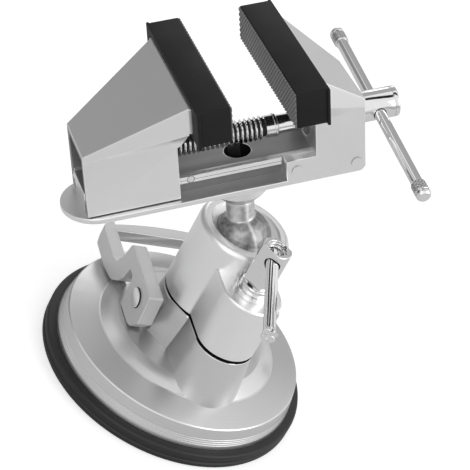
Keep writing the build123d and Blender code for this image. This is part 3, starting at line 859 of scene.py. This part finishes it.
@dataclass
class HelicalThread:
    """A screw ridge round Z, as one swept section.

    The section is a trapezium on the root, its feet and its tip given as shares of the pitch.
    """

    name: str
    root: float
    crest: float
    pitch: float
    turns: float
    steps: int = 48
    foot_share: float = 0.36
    tip_share: float = 0.09

    def mesh(self, finish: Finish) -> bpy.types.Mesh:
        """Sweep the section up a helix.

        Args:
            finish: The ridge's finish.

        Returns:
            The mesh in millimetres, from height 0 up.
        """
        tree = GeometryTree(self.name)
        turns = tree.size("Turns", float(self.turns))
        root = tree.size("Root Radius", float(self.root))
        depth = tree.size("Depth", float(self.crest - self.root))
        pitch = tree.size("Pitch", float(self.pitch))
        steps = tree.size("Steps per Turn", self.steps)
        spiral = {"Start Radius": root, "End Radius": root, "Height": turns * pitch}
        path = tree.value("GeometryNodeCurveSpiral", {"Resolution": steps, "Rotations": turns, **spiral})
        upright = tree.value("GeometryNodeSetCurveNormal", {"Curve": path}, {"mode": "Z_UP"})
        outward = depth * -1.0
        foot = pitch * self.foot_share
        tip = pitch * self.tip_share
        corners = ((0.0, foot * -1.0), (outward, tip * -1.0), (outward, tip), (0.0, foot))
        section = tree.value(
            "GeometryNodeCurvePrimitiveQuadrilateral",
            {f"Point {number}": tree.vector(*corner) for number, corner in enumerate(corners, 1)},
            {"mode": "POINTS"},
        )
        sweep = {"Curve": upright, "Profile Curve": section, "Fill Caps": True}
        return tree.grow(tree.value("GeometryNodeCurveToMesh", sweep), finish)


@dataclass
class Column(Assembly):
    """Upper half of the column with its ball seat, and the clamp screw."""

    body: str = "base"
    boss_y: float = -27.2
    boss_top: float = 73.5
    washer_height: float = 2.2
    collar_radius: float = 7.0
    collar_height: float = 3.6
    collar_rounding: float = 0.8
    nut_radius: float = 6.4
    nut_top: float = 99.0
    nut_rounding: float = 0.6
    nut_flat: float = 4.7
    nut_flat_azimuth: float = 210.0
    stud_radius: float = 4.0
    bar_radius: float = 2.6
    bar_height: float = 93.4
    bar_azimuth: float = 251.0
    bar_near: float = 49.5
    bar_far: float = 9.5
    bar_gap: float = 0.7
    tip_radius: float = 3.6
    tip_length: float = 3.0
    leaf_gap: float = 0.42
    thread_pitch: float = 1.6
    thread_height: float = 4.6
    slit_top: float = 45.6

    def make(self) -> None:
        """Build the housing, the nut and the sliding bar."""
        # Painted highlight on the broken edges, painted shade over the slit.
        housing = softened("upper_housing", 0.4, CASTING, EDGE_HIGHLIGHT)
        painted_shading(housing, PAINTED_SHADE, WORLD, self.over_slit)
        self.hand_over(housing, "upper_housing", Slot.CAST)
        self.hand_over(softened("clamp_washer", 0.25, WASHER_STEEL, WASHER_STEEL), "clamp_washer", Slot.STEEL)
        self.hand_over(self.nut(), "clamp_nut", Slot.CHROME, "clamp_nut")
        self.hand_over(self.bar(), "clamp_bar", Slot.CHROME, "clamp_bar")
        self.dress(WASHER_STEEL, "clamp_stud")
        self.dress(NYLON, "ball_seat")

    def over_slit(self, centre: Vector, normal: Vector) -> bool:
        """Tell the faces that look down into the slit in the column, which get painted shade."""
        return normal.z < -SQUARE_ON and centre.z < self.slit_top

    def bar_frame(self) -> Matrix:
        """Frame whose X runs along the sliding bar."""
        return WORLD @ moved(0, self.boss_y, self.bar_height) @ turned(self.bar_azimuth, "Z")

    def nut(self) -> bpy.types.Object:
        """Tall nut with a collar, two flats, a cross hole and a thread that shows at the top."""
        base = self.boss_top + self.washer_height
        shoulder = base + self.collar_height
        collar, radius, top = self.collar_radius, self.nut_radius, self.nut_top
        bore = self.stud_radius + BORE_PLAY
        low, high = self.collar_rounding, self.nut_rounding
        outline = [
            (collar - 0.3, base), (collar, base + 0.3),
            *arc((collar - low, shoulder - low), low, 0, 90, 5), (radius + 0.1, shoulder),
            *arc((radius - high, top - high), high, 0, 90, 5),
            (bore + 0.5, top), (bore, top - 0.5), (bore, base),
        ]
        axis = WORLD @ moved(0, self.boss_y)
        nut = as_object("clamp_nut_body", lathe(outline, 128), axis)
        wide = 2 * radius
        for azimuth in (self.nut_flat_azimuth, self.nut_flat_azimuth + 180):
            slab = block((self.nut_flat, -wide, shoulder + 0.02), (wide, wide, top + 1))
            cut(nut, as_object("flat_tool", slab, axis @ turned(azimuth, "Z")))
        hole = self.bar_radius + self.bar_gap
        cut(nut, as_object("hole_tool", rod(hole, wide), self.bar_frame() @ along_x()))
        painted(shade(bevel(nut, 0.22, angle=40), 30), CHROME)
        # Painted shade inside the cross hole.
        painted_shading(
            nut, PAINTED_SHADE, self.bar_frame(),
            lambda centre, normal: math.hypot(centre.y, centre.z) < hole + BORE_PLAY,
        )
        turns = self.thread_height / self.thread_pitch
        thread = HelicalThread("nut_thread", bore + 0.15, bore - 0.75, self.thread_pitch, turns)
        ridge = thread.mesh(WASHER_STEEL)
        ridge.transform(axis @ moved(z=top - 0.6 - self.thread_height))
        return join_meshes("clamp_nut_chrome", released(nut), ridge)

    def bar(self) -> bpy.types.Object:
        """Sliding bar with one end peened and the other split and spread."""
        near, far, radius, tip = self.bar_near, -self.bar_far, self.bar_radius, self.tip_radius
        start = near - self.tip_length
        shares = [step / 8 for step in range(1, 9)]
        outline = [
            (0.0, far), *arc((tip - 0.8, 0.8 + far), 0.8, -90, 0, 4),
            (radius, 1.8 + far), (radius, start - 1.0), (radius, start),
            *((radius + (tip - radius) * s**1.5, start + (self.tip_length - 0.4) * s) for s in shares),
            (tip - 0.5, near - 0.1), (tip * 0.5, near - 0.35), (0.0, near - 0.9),
        ]

        def split(radius: float, height: float, angle: float) -> float:
            """Pinch the spread end into four leaves."""
            share = max(0.0, (height - start) / self.tip_length)
            return radius * (1 - self.leaf_gap * min(1.0, share * 1.3) * math.cos(2 * angle) ** 8)

        made = as_object("clamp_bar_rod", lathe(outline, 96, split), self.bar_frame() @ along_x())
        return shade(painted(made, CHROME), 50)


@dataclass
class LockingLever(Assembly):
    """Cam lever with its hand loop, and the pin that it turns on."""

    body: str = "lever"
    pin_height: float = 37.3
    pin_end: float = 31.6
    pin_radius: float = 2.5
    head_radius: float = 4.5
    head_height: float = 1.4
    rim_height: float = 0.35

    def make(self) -> None:
        """Build the lever and its pin."""
        # Painted highlight on the lever's broken edges.
        lever = softened("lever", 0.45, LEVER_METAL, LEVER_EDGE_HIGHLIGHT, weld=0.25)
        self.hand_over(lever, "lever", Slot.LEVER)
        # Painted shade round the rim of each pin head.
        rim = self.head_radius - self.rim_height
        pin = painted_shading(
            self.pin(), PAINTED_SHADE, WORLD @ moved(z=self.pin_height),
            lambda centre, normal: math.hypot(centre.y, centre.z) > rim,
        )
        self.hand_over(pin, "lever_pin", Slot.CHROME, "lift")

    def pin(self) -> bpy.types.Object:
        """Pin with a low domed head outside each leg."""
        rim = self.pin_end + self.rim_height
        dome = self.head_height - self.rim_height
        half = [(self.pin_radius, self.pin_end), (self.head_radius, self.pin_end), (self.head_radius, rim)]
        for step in range(1, 7):
            angle = math.radians(15 * step)
            radius = self.head_radius * math.cos(angle) if step < 6 else 0.0
            half.append((radius, rim + dome * math.sin(angle)))
        other = [(radius, -height) for radius, height in reversed(half)]
        made = as_object("lever_pin_chrome", lathe(other + half, 64), WORLD @ along_x(self.pin_height))
        return shade(painted(made, PIN_STEEL), 40)


@dataclass
class BallStud(Assembly):
    """Ball, neck and spigot."""

    body: str = "ball"
    ball_radius: float = 12.5
    neck_radius: float = 6.0
    neck_steps: tuple[float, ...] = (-18.0, -16.0, -14.0, -12.2)
    neck_top: float = -11.55
    spigot_radius: float = 5.0
    spigot_top: float = -4.5
    seam_proud: float = 0.18
    seam_reach: float = 0.1

    def make(self) -> None:
        """Turn the stud and leave a seam on its neck."""
        centre, neck = -BED_ABOVE_BALL, self.neck_radius
        meet = math.degrees(math.acos((neck + 0.6) / self.ball_radius))
        outline = [(0.0, centre - self.ball_radius)]
        outline += arc((0.0, centre), self.ball_radius, -86, meet - 2, 44)
        foot = outline[-1][1]
        outline += [(neck + 0.35, foot + 0.5), (neck, foot + 1.2)]
        outline += [(neck, height) for height in self.neck_steps]
        outline += [(neck - 0.25, self.neck_top), (self.spigot_radius, self.neck_top)]
        outline += [(self.spigot_radius, self.spigot_top), (0.0, self.spigot_top)]

        def raised(radius: float, height: float, angle: float) -> float:
            """Leave a low flash line on the neck."""
            off = abs((angle - math.radians(SEAM_AZIMUTH) + math.pi) % math.tau - math.pi)
            on_neck = foot + 1.0 < height < self.neck_top - 0.2
            return radius + (self.seam_proud if on_neck and off < self.seam_reach else 0.0)

        stud = painted(as_object("ball_stud_steel", lathe(outline, 144, raised), HEAD), BALL_FINISH)
        self.hand_over(shade(stud, 30), "ball_stud", Slot.BALL)
        # The screw deep in the ball stud gets painted shade.
        self.dress(PAINTED_SHADE, "stud_screw")


@dataclass
class Bed(Assembly):
    """Bed casting with the fixed jaw, its rails and their pins."""

    body: str = "head"
    half_floor: float = 9.6
    floor_low: float = 10.0
    floor_high: float = 11.9
    web_low: float = 2.0
    web_high: float = 9.0
    hole_radius: float = 5.7
    hole_low: float = 0.9
    hole_high: float = 11.5
    line_height: float = 9.75
    line_width: float = 0.16
    pin_places: tuple[float, float] = (-23.0, -56.0)
    pin_height: float = 9.95
    pin_radius: float = 1.4
    ring_width: float = 0.19
    discs: tuple[Point, Point] = ((20.6, 6.4), (46.2, 4.6))
    disc_radius: float = 2.5
    cheek_y: float = 15.6

    def make(self) -> None:
        """Break the casting's edges and dress the rails."""
        # Painted highlight on the broken edges; painted shade in the hole, on the floor, on the web and round
        # the discs.
        bed = softened("bed_casting", 0.4, HEAD_CASTING, EDGE_HIGHLIGHT)
        zones = (
            (PAINTED_SHADE, self.in_hole),
            (SHADE_CASTING, self.on_floor),
            (SHADED_STEEL, self.on_web),
            (SHADE_CASTING, self.beside_disc),
        )
        for finish, rule in zones:
            painted_shading(bed, finish, HEAD, rule)
        self.hand_over(bed, "bed_casting", Slot.CAST)
        for node in ("front_rail", "rear_rail"):
            self.hand_over(self.rail(node), node, Slot.STEEL)
        self.dress(WASHER_STEEL, "rail_pins", "thrust_washer")

    def in_hole(self, centre: Vector, normal: Vector) -> bool:
        """Tell the wall of the round hole over the ball stud, which gets painted shade."""
        inside = math.hypot(centre.x, centre.y) < self.hole_radius
        return inside and self.hole_low < centre.z < self.hole_high

    def on_floor(self, centre: Vector, normal: Vector) -> bool:
        """Tell the bed's floor between the rails, which gets painted shade."""
        at_level = self.floor_low < centre.z < self.floor_high
        return at_level and normal.z > FLUSH and abs(centre.y) < self.half_floor

    def on_web(self, centre: Vector, normal: Vector) -> bool:
        """Tell the sides of the web under the rails, which get painted shade."""
        at_level = self.web_low < centre.z < self.web_high
        return at_level and abs(normal.y) > SQUARE_ON and abs(centre.y) < self.half_floor

    def beside_disc(self, centre: Vector, normal: Vector) -> bool:
        """Tell the rims of the raised discs on the cheeks, which get painted shade."""
        near = min(math.hypot(centre.x - x, centre.z - z) for x, z in self.discs)
        return near < self.disc_radius and abs(centre.y) > self.cheek_y and abs(normal.y) < FLUSH

    def rail(self, node: str) -> bpy.types.Object:
        """Rail with a dark line along its side, rings of painted shade round its pins and a painted highlight
        on its broken edges.
        """
        rail = softened(node, 0.2, RAIL_STEEL, EDGE_HIGHLIGHT)
        mesh = bmesh.new()
        mesh.from_mesh(rail.data)
        mesh.transform(HEAD.inverted())
        for height in (self.line_height, self.line_height + self.line_width):
            slice_mesh(mesh, (0, 0, height), (0, 0, 1))
        mesh.transform(HEAD)
        mesh.to_mesh(rail.data)
        mesh.free()
        middle = self.line_height + self.line_width / 2

        def drawn(centre: Vector, normal: Vector) -> bool:
            """Tell the line and the rings."""
            on_line = abs(normal.y) > SQUARE_ON and abs(centre.z - middle) < self.line_width / 2
            near = min(math.hypot(centre.x - x, centre.z - self.pin_height) for x in self.pin_places)
            return on_line or near < self.pin_radius + self.ring_width

        return painted_shading(rail, PAINTED_SHADE, HEAD, drawn)


@dataclass
class MovingJaw(Assembly):
    """Hollow sliding jaw and the nut inside it."""

    body: str = "jaw"
    ceiling_low: float = 14.0
    core_half: float = 11.3
    core_low: float = 11.0
    core_high: float = 28.2

    def make(self) -> None:
        """Break the casting's edges and dress the nut."""
        # Painted highlight on the broken edges, painted shade inside the hollow.
        jaw = softened("moving_jaw", 0.35, HEAD_CASTING, EDGE_HIGHLIGHT, weld=0.3)
        self.hand_over(painted_shading(jaw, SHADE_CASTING, HEAD, self.inside), "moving_jaw", Slot.CAST)
        self.dress(WASHER_STEEL, "jaw_nut")

    def inside(self, centre: Vector, normal: Vector) -> bool:
        """Tell the walls of the hollow, which get painted shade."""
        inward = normal.y * math.copysign(1.0, centre.y) < -0.2
        ceiling = abs(normal.y) < 0.15 and normal.z < -0.3 and centre.z > self.ceiling_low
        core = abs(centre.y) < self.core_half and self.core_low < centre.z < self.core_high
        return inward or ceiling or core


@dataclass
class JawCap(Assembly):
    """Rubber cap over a jaw plate, with slanted ribs on its gripping face."""

    node: str = "fixed_jaw_cap"
    face_x: float = 13.7
    side: int = 1
    thickness: float = 14.2
    width: float = 75.0
    height: float = 15.5
    top: float = 56.35
    lip: float = 0.7
    lip_depth: float = 1.2
    wall: float = 4.0
    plate_half: float = 29.5
    plate_low: float = 42.8
    plate_top: float = 54.1
    rib_depth: float = 0.55
    rib_pitch: float = 1.63
    rib_angle: float = 48.0
    corner: float = 0.7

    def make(self) -> None:
        """Build the body, its pocket and the ribs as one piece."""
        whole = join_meshes(f"{self.node}_rubber", released(self.shell()), self.ribs())
        self.hand_over(shade(whole, 40), self.node, Slot.RUBBER)

    @property
    def rib_radius(self) -> float:
        """Radius of a rib, a touch under half the pitch."""
        return self.rib_pitch * 0.49

    def along(self, depth: float) -> float:
        """Give X at a depth behind the gripping face."""
        return self.face_x + self.side * depth

    def slab(
        self, name: str, near: float, far: float, half: float, low: float, high: float
    ) -> bpy.types.Object:
        """Box between two depths behind the face."""
        x0, x1 = sorted((self.along(near), self.along(far)))
        return as_object(name, block((x0, -half, low), (x1, half, high)), HEAD)

    def shell(self) -> bpy.types.Object:
        """Cap body with a lip round its open back and a pocket for the plate."""
        low, half, back = self.top - self.height, self.width / 2, self.thickness
        body = self.slab("cap_tool", self.rib_depth, back, half, low, self.top)
        bevel(body, self.corner, 3)
        front = back - self.lip_depth
        collar = self.slab("lip_tool", front, back, half + self.lip, low - self.lip, self.top - 0.02)
        cut(body, bevel(collar, 0.3), "UNION")
        plate = (self.plate_half, self.plate_low, self.plate_top)
        cut(body, self.slab("pocket_tool", self.wall, back + 1, *plate))
        return painted(body, RUBBER)

    def ribs(self) -> bpy.types.Mesh:
        """Round ribs across the gripping face, trimmed to it."""
        slant = math.radians(self.rib_angle)
        step = self.rib_pitch / math.sin(slant)
        count = int((self.width + self.height / math.tan(slant)) / step) + 4
        tree = GeometryTree(f"{self.node}_ribs")
        pitch = tree.size("Pitch along Face", step)
        number = tree.size("Ribs", count)
        radius = tree.size("Rib Radius", self.rib_radius)
        length = tree.size("Rib Length", self.height * 2.4)
        first = tree.vector(0.0, pitch * (count - 1) * -0.5)
        line = tree.value(
            "GeometryNodeMeshLine",
            {"Count": number, "Start Location": first, "Offset": tree.vector(0.0, pitch)},
            {"mode": "OFFSET"},
        )
        rib = tree.value(
            "GeometryNodeMeshCylinder",
            {"Vertices": 12, "Radius": radius, "Depth": length}, {"fill_type": "NGON"}, "Mesh",
        )
        turn = Euler((self.side * (math.pi / 2 - slant), 0.0, 0.0))
        slanted = tree.value("GeometryNodeTransform", {"Geometry": rib, "Rotation": turn})
        grown = tree.value("GeometryNodeInstanceOnPoints", {"Points": line, "Instance": slanted})
        # The ribs get a lighter rubber than the cap: a painted sheen.
        return self.trimmed(tree.grow(grown, RIB_RUBBER_SHEEN))

    def trimmed(self, mesh: bpy.types.Mesh) -> bpy.types.Mesh:
        """Cut the ribs to the face's outline and set them on it."""
        edge_y = self.width / 2 - self.corner * 0.6
        edge_z = self.height / 2 - self.corner * 0.6
        solid = bmesh.new()
        solid.from_mesh(mesh)
        for side in (1, -1):
            self.trim(solid, (0, side * edge_y, 0), (0, side, 0))
        for side in (1, -1):
            self.trim(solid, (0, 0, side * edge_z), (0, 0, side))
        solid.transform(HEAD @ moved(self.along(self.rib_radius), 0, self.top - self.height / 2))
        solid.to_mesh(mesh)
        solid.free()
        return mesh

    @staticmethod
    def trim(solid: bmesh.types.BMesh, point: Triple, normal: Triple) -> None:
        """Take off what lies beyond a plane and close the cut."""
        made = slice_mesh(solid, point, normal, clear_outer=True)
        rim = [part for part in made["geom_cut"] if isinstance(part, bmesh.types.BMEdge)]
        bmesh.ops.holes_fill(solid, edges=rim, sides=0)


@dataclass
class LeadScrew(Assembly):
    """Threaded screw with its hub, and the sliding handle."""

    body: str = "screw"
    height: float = 20.2
    thread_radius: float = 5.0
    root_radius: float = 3.9
    neck_radius: float = 4.6
    pitch: float = 2.0
    thread_left: float = -60.0
    thread_right: float = 11.5
    shoulder: float = 15.4
    collar_x: float = 17.0
    shank_radius: float = 4.0
    hub_radius: float = 6.5
    hub_left: float = 51.5
    hub_right: float = 68.8
    cap_depth: float = 0.25
    handle_x: float = 59.7
    handle_tilt: float = 9.66
    handle_radius: float = 2.5
    handle_far: float = 49.5
    handle_near: float = 58.0
    spigot_radius: float = 1.8
    spigot_length: float = 6.0
    drill_reach: float = 9.0
    knob_radius: float = 3.2
    knob_length: float = 8.5
    knob_end: float = 1.9
    knurl_start: float = 0.6
    knurl_end: float = 5.3
    knurl_depth: float = 0.22
    knurl_rows: int = 6
    knurl_around: int = 22

    def make(self) -> None:
        """Build the screw, the hub, the bar and the two knobs."""
        self.hand_over(self.screw(), "lead_screw", Slot.STEEL)
        self.hand_over(self.hub(), "screw_hub", Slot.CHROME)
        self.hand_over(self.bar(), "handle_bar", Slot.CHROME, "handle")
        self.hand_over(self.knobs(), "handle_knobs", Slot.CHROME, "handle")
        self.dress(WASHER_STEEL, "retaining_ring")

    def screw_frame(self) -> Matrix:
        """Frame whose Z runs along the screw, towards the hub."""
        return HEAD @ along_x(self.height)

    def handle_frame(self) -> Matrix:
        """Frame whose Z runs along the handle, away from the photographed side."""
        return HEAD @ moved(self.handle_x, 0, self.height) @ turned(self.handle_tilt, "X") @ turned(-90, "X")

    def drill(self, obj: bpy.types.Object, play: float, segments: int) -> None:
        """Cut the handle's hole, wider than the handle by a play."""
        tool = rod(self.handle_radius + play, self.drill_reach, segments)
        cut(obj, as_object("drill_tool", tool, self.handle_frame()))

    def screw(self) -> bpy.types.Object:
        """Core and shank in one turning, with the thread wound round it."""
        root, crest, left, right = self.root_radius, self.thread_radius, self.thread_left, self.thread_right
        end = self.hub_right - 3
        outline = [
            (0.0, left), (root - 0.6, left), (root, left + 0.6), (root, right),
            (self.neck_radius, right + 0.3), (self.neck_radius, self.shoulder),
            (crest - 0.2, self.shoulder), (crest, self.shoulder + 0.2), (crest, self.collar_x - 0.7),
            (self.shank_radius, self.collar_x), (self.shank_radius, end), (0.0, end),
        ]
        core = as_object("screw_core", lathe(outline, 64), self.screw_frame())
        self.drill(core, 0.1, 48)
        # Painted shade on the core between the thread's turns.
        painted_shading(
            painted(shade(core), SCREW_STEEL), PAINTED_SHADE, self.screw_frame(),
            lambda centre, normal: centre.z < right and math.hypot(centre.x, centre.y) < root + 0.1,
        )
        turns = (right - left - self.pitch) / self.pitch
        ridge = HelicalThread("lead_thread", root - 0.1, crest, self.pitch, turns).mesh(SCREW_STEEL)
        ridge.transform(self.screw_frame() @ moved(z=left + self.pitch / 2))
        return shade(join_meshes("lead_screw_steel", released(core), ridge))

    def hub(self) -> bpy.types.Object:
        """Round head with a fine ring near its outer end and a cross hole."""
        left, right, radius = self.hub_left, self.hub_right, self.hub_radius
        inner = self.shank_radius + 0.01
        outline = [
            (inner, left), *arc((radius - 0.6, left + 0.6), 0.6, -90, 0, 4),
            (radius, right - 2.5), (radius - 0.3, right - 2.35),
            (radius - 0.3, right - 2.15), (radius, right - 2.0),
            *arc((radius - 0.8, right - 0.8), 0.8, 0, 90, 5),
            (radius - 1.6, right - self.cap_depth), (0.0, right - self.cap_depth),
            (0.0, right - 2.9), (inner, right - 2.9),
        ]
        hub = as_object("screw_hub_chrome", lathe(outline, 128), self.screw_frame())
        self.drill(hub, 0.3, 64)
        return painted(shade(bevel(hub, 0.25, angle=50), 30), CHROME)

    def bar(self) -> bpy.types.Object:
        """Plain bar between the knobs, stepped down inside them."""
        near, far = self.knob_length - self.handle_near, self.handle_far - self.knob_length
        ends = (near - self.spigot_length, far + self.spigot_length)
        outline = [(0.0, ends[0]), (self.spigot_radius, ends[0]), (self.spigot_radius, near)]
        outline += [(self.handle_radius, near), (self.handle_radius, far)]
        outline += [(self.spigot_radius, far), (self.spigot_radius, ends[1]), (0.0, ends[1])]
        made = as_object("handle_bar_chrome", lathe(outline, 64), self.handle_frame())
        return shade(painted(made, CHROME), 40)

    def knobs(self) -> bpy.types.Object:
        """Two knobs, each knurled and then smooth to its round end."""
        radius, length, end = self.knob_radius, self.knob_length, self.knob_end
        inner, low = self.spigot_radius + BORE_PLAY, radius - 0.45
        outline = [
            (inner, 0.0), *arc((low, 0.45), 0.25, -90, 0, 3), (radius - 0.2, length - 3.0),
            (low, length - 2.8), (low, length - 2.5), (radius, length - 2.3),
            *arc((radius - end, length - end), end, 0, 80, 7),
            (0.0, length), (0.0, length - 2.0), (inner, length - 2.0),
        ]
        meshes = []
        for turn, reach in ((0, self.handle_far), (180, self.handle_near)):
            place = self.handle_frame() @ turned(turn, "X") @ moved(z=reach - length)
            plain = painted(as_object("knob_tool", lathe(outline, 48), place), CHROME)
            knurl = self.knurl()
            knurl.transform(place)
            meshes += [released(shade(plain)), knurl]
        return join_meshes("handle_knobs_chrome", *meshes)

    def knurl(self) -> bpy.types.Mesh:
        """Small pyramids round a knob, every other row shifted by half a step."""
        around, rows, margin = self.knurl_around, self.knurl_rows, 0.45
        radius = self.knob_radius - self.knurl_depth
        start, end = self.knurl_start + margin, self.knurl_end - margin
        tree = GeometryTree("knurl")
        per_row = tree.size("Pyramids per Row", around)
        count = tree.size("Rows", rows)
        base = tree.size("Radius", radius)
        tooth = tree.size("Tooth Width", math.tau * radius / around * 0.78)
        rise = tree.size("Tooth Height", 0.24)
        first = tree.size("Start", start)
        height = tree.size("Row Height", (end - start) / (rows - 1))
        line = tree.value("GeometryNodeMeshLine", {"Count": per_row * count}, {"mode": "OFFSET"})
        index = tree.value("GeometryNodeInputIndex")
        row = (index / per_row).maths("FLOOR")
        turn = (index + row * 0.5) / per_row * math.tau
        x, y = turn.maths("COSINE"), turn.maths("SINE")
        spot = tree.vector(x * base, y * base, row * height + first)
        spread = tree.value("GeometryNodeSetPosition", {"Geometry": line, "Position": spot})
        cone = {"Vertices": 4, "Radius Bottom": tooth, "Radius Top": 0.0, "Depth": rise}
        pyramid = tree.value("GeometryNodeMeshCone", cone, {"fill_type": "NGON"}, "Mesh")
        outward = tree.value(
            "FunctionNodeAlignRotationToVector", {"Vector": tree.vector(x, y)}, {"axis": "Z"}
        )
        grown = {"Points": spread, "Instance": pyramid, "Rotation": outward}
        return tree.grow(tree.value("GeometryNodeInstanceOnPoints", grown), KNURLED)


# ----------------------------------------------------------------------- studio


@dataclass
class Lamp:
    """A soft square lamp aimed at the object."""

    name: str
    place: Triple
    size: float
    power: float


@dataclass
class Flag:
    """A grey card that only shows in reflections."""

    name: str
    direction: Triple
    width: float
    height: float
    grey: float
    distance: float = 0.8


@dataclass
class Studio:
    """Floor, background, lamps, reflection cards and the camera."""

    target: Triple = (0.0, 0.0, 0.09)
    floor_size: float = 6.0
    floor_tone: float = 0.82
    floor_glow: float = 0.55
    mirrored_tone_drop: float = 0.12
    mirrored_glow_drop: float = 0.40
    ambient: float = 0.5
    camera_place: Triple = (-0.38905, -0.57001, 0.55977)
    camera_right: Triple = (0.87908, -0.25677, 0.40161)
    camera_up: Triple = (-0.12589, 0.68763, 0.71510)
    camera_back: Triple = (-0.45978, -0.67917, 0.57214)
    lens: float = 153.06
    sensor: float = 36.0
    lamps: tuple[Lamp, ...] = (
        Lamp("key", (0.95, -0.85, 1.05), 1.0, 5.5),
        Lamp("fill", (-1.1, -0.9, 0.8), 1.0, 3.0),
        Lamp("rear", (0.6, 1.2, 0.9), 1.0, 3.0),
    )
    flags: tuple[Flag, ...] = (
        Flag("rear_left_card", (-0.56, 0.80, 0.10), 1.1, 0.8, 0.30),
        Flag("overhead_card", (-0.20, 0.10, 0.97), 0.22, 0.9, 0.02),
        Flag("left_card", (-0.92, -0.10, 0.22), 0.7, 0.45, 0.50),
        Flag("right_strip", (0.93, 0.36, 0.0), 0.06, 0.5, 0.02),
        Flag("high_rear_card", (-0.03, 0.70, 0.72), 0.55, 0.5, 0.45),
        Flag("right_rear_card", (0.56, 0.66, 0.42), 0.55, 0.75, 0.42),
        Flag("front_card", (0.45, -0.85, -0.10), 0.8, 0.5, 0.5),
    )

    def make(self) -> None:
        """Set the stage."""
        bpy.context.scene.view_settings.view_transform = "Standard"
        self.background()
        self.floor()
        for lamp in self.lamps:
            self.light(lamp)
        for flag in self.flags:
            self.card(flag)
        self.camera()

    @staticmethod
    def rays(graph: Graph, *kinds: str) -> Value:
        """Give 1 for rays of any of the kinds."""
        path = graph.node("ShaderNodeLightPath")
        first, *others = [Value(graph, path.outputs[f"Is {kind} Ray"]) for kind in kinds]
        for other in others:
            first = first.maths("MAXIMUM", other)
        return first

    @staticmethod
    def sheet(name: str, size: float, place: Matrix, shader: Callable[[Surface], Value]) -> bpy.types.Object:
        """Lay out a square sheet with a shader of its own, which isn't part of the object.

        Args:
            name: The sheet's name.
            size: The length of its sides in metres, before its place is applied.
            place: Its place.
            shader: Gives its shader's output on a new surface.

        Returns:
            The sheet.
        """
        mesh = bmesh.new()
        bmesh.ops.create_grid(mesh, x_segments=1, y_segments=1, size=size / 2)
        made = as_object(name, mesh, place)
        surface = Surface(name)
        surface.swap_shader(shader(surface))
        made.data.materials.append(surface.material)
        return made

    def background(self) -> None:
        """White where it is seen, softer where it only lights."""
        world = bpy.data.worlds.new("studio")
        world.use_nodes = True
        bpy.context.scene.world = world
        graph = Graph(world.node_tree)
        shader = world.node_tree.nodes["Background"]
        shader.inputs["Color"].default_value = (1.0, 1.0, 1.0, 1.0)
        shown = self.rays(graph, "Camera", "Glossy", "Transmission")
        graph.feed(shader.inputs["Strength"], shown.spread(self.ambient, 1.0))

    def floor(self) -> None:
        """Pale floor that stays white except for a soft shadow."""

        def paper(surface: Surface) -> Value:
            """Add a glow that only shows to a diffuse sheet."""
            mirrored = self.rays(surface, "Glossy")
            shown = self.rays(surface, "Camera", "Glossy", "Transmission")
            colour = surface.grey(self.floor_tone - mirrored * self.mirrored_tone_drop)
            glow = {
                "Color": (1.0, 1.0, 1.0, 1.0),
                "Strength": shown * (self.floor_glow - mirrored * self.mirrored_glow_drop),
            }
            parts = {
                0: surface.value("ShaderNodeBsdfDiffuse", {"Color": colour}),
                1: surface.value("ShaderNodeEmission", glow),
            }
            return surface.value("ShaderNodeAddShader", parts)

        self.sheet("floor", self.floor_size, METRES, paper)

    def light(self, lamp: Lamp) -> None:
        """Hang one soft lamp."""
        data = bpy.data.lights.new(lamp.name, "AREA")
        data.shape = "SQUARE"
        data.size = lamp.size
        data.energy = lamp.power
        obj = linked(bpy.data.objects.new(lamp.name, data))
        obj.location = lamp.place
        aim = Vector(self.target) - Vector(lamp.place)
        obj.rotation_euler = aim.to_track_quat("-Z", "Y").to_euler()
        obj.visible_camera = False

    def card(self, flag: Flag) -> None:
        """Stand one grey card where only reflections see it."""
        direction = Vector(flag.direction).normalized()
        turn = direction.to_track_quat("Z", "Y").to_matrix().to_4x4()
        size = Matrix.Diagonal((flag.width, flag.height, 1.0, 1.0))
        place = Matrix.Translation(Vector(self.target) + direction * flag.distance) @ turn @ size
        glow = {"Color": (flag.grey, flag.grey, flag.grey, 1.0), "Strength": 1.0}
        card = self.sheet(flag.name, 1.0, place, lambda surface: surface.value("ShaderNodeEmission", glow))
        for kind in ("camera", "diffuse", "transmission", "volume_scatter", "shadow"):
            setattr(card, f"visible_{kind}", False)

    def camera(self) -> None:
        """Stand the camera where the photograph was taken."""
        data = bpy.data.cameras.new("camera")
        data.lens = self.lens
        data.sensor_width = self.sensor
        obj = linked(bpy.data.objects.new("camera", data))
        columns = Matrix((self.camera_right, self.camera_up, self.camera_back)).transposed()
        obj.matrix_world = Matrix.Translation(self.camera_place) @ columns.to_4x4()
        bpy.context.scene.camera = obj


def main() -> None:
    """Build the vise, dress it and light it."""
    logging.basicConfig(level=logging.INFO, format="%(name)s: %(message)s")
    assemblies = (
        SuctionBase(),
        Column(),
        LockingLever(),
        BallStud(),
        Bed(),
        MovingJaw(),
        JawCap("head"),
        JawCap("jaw", node="moving_jaw_cap", face_x=-11.2, side=-1),
        LeadScrew(),
    )
    for assembly in assemblies:
        assembly.make()
    Studio().make()


if __name__ == "__main__":
    main()
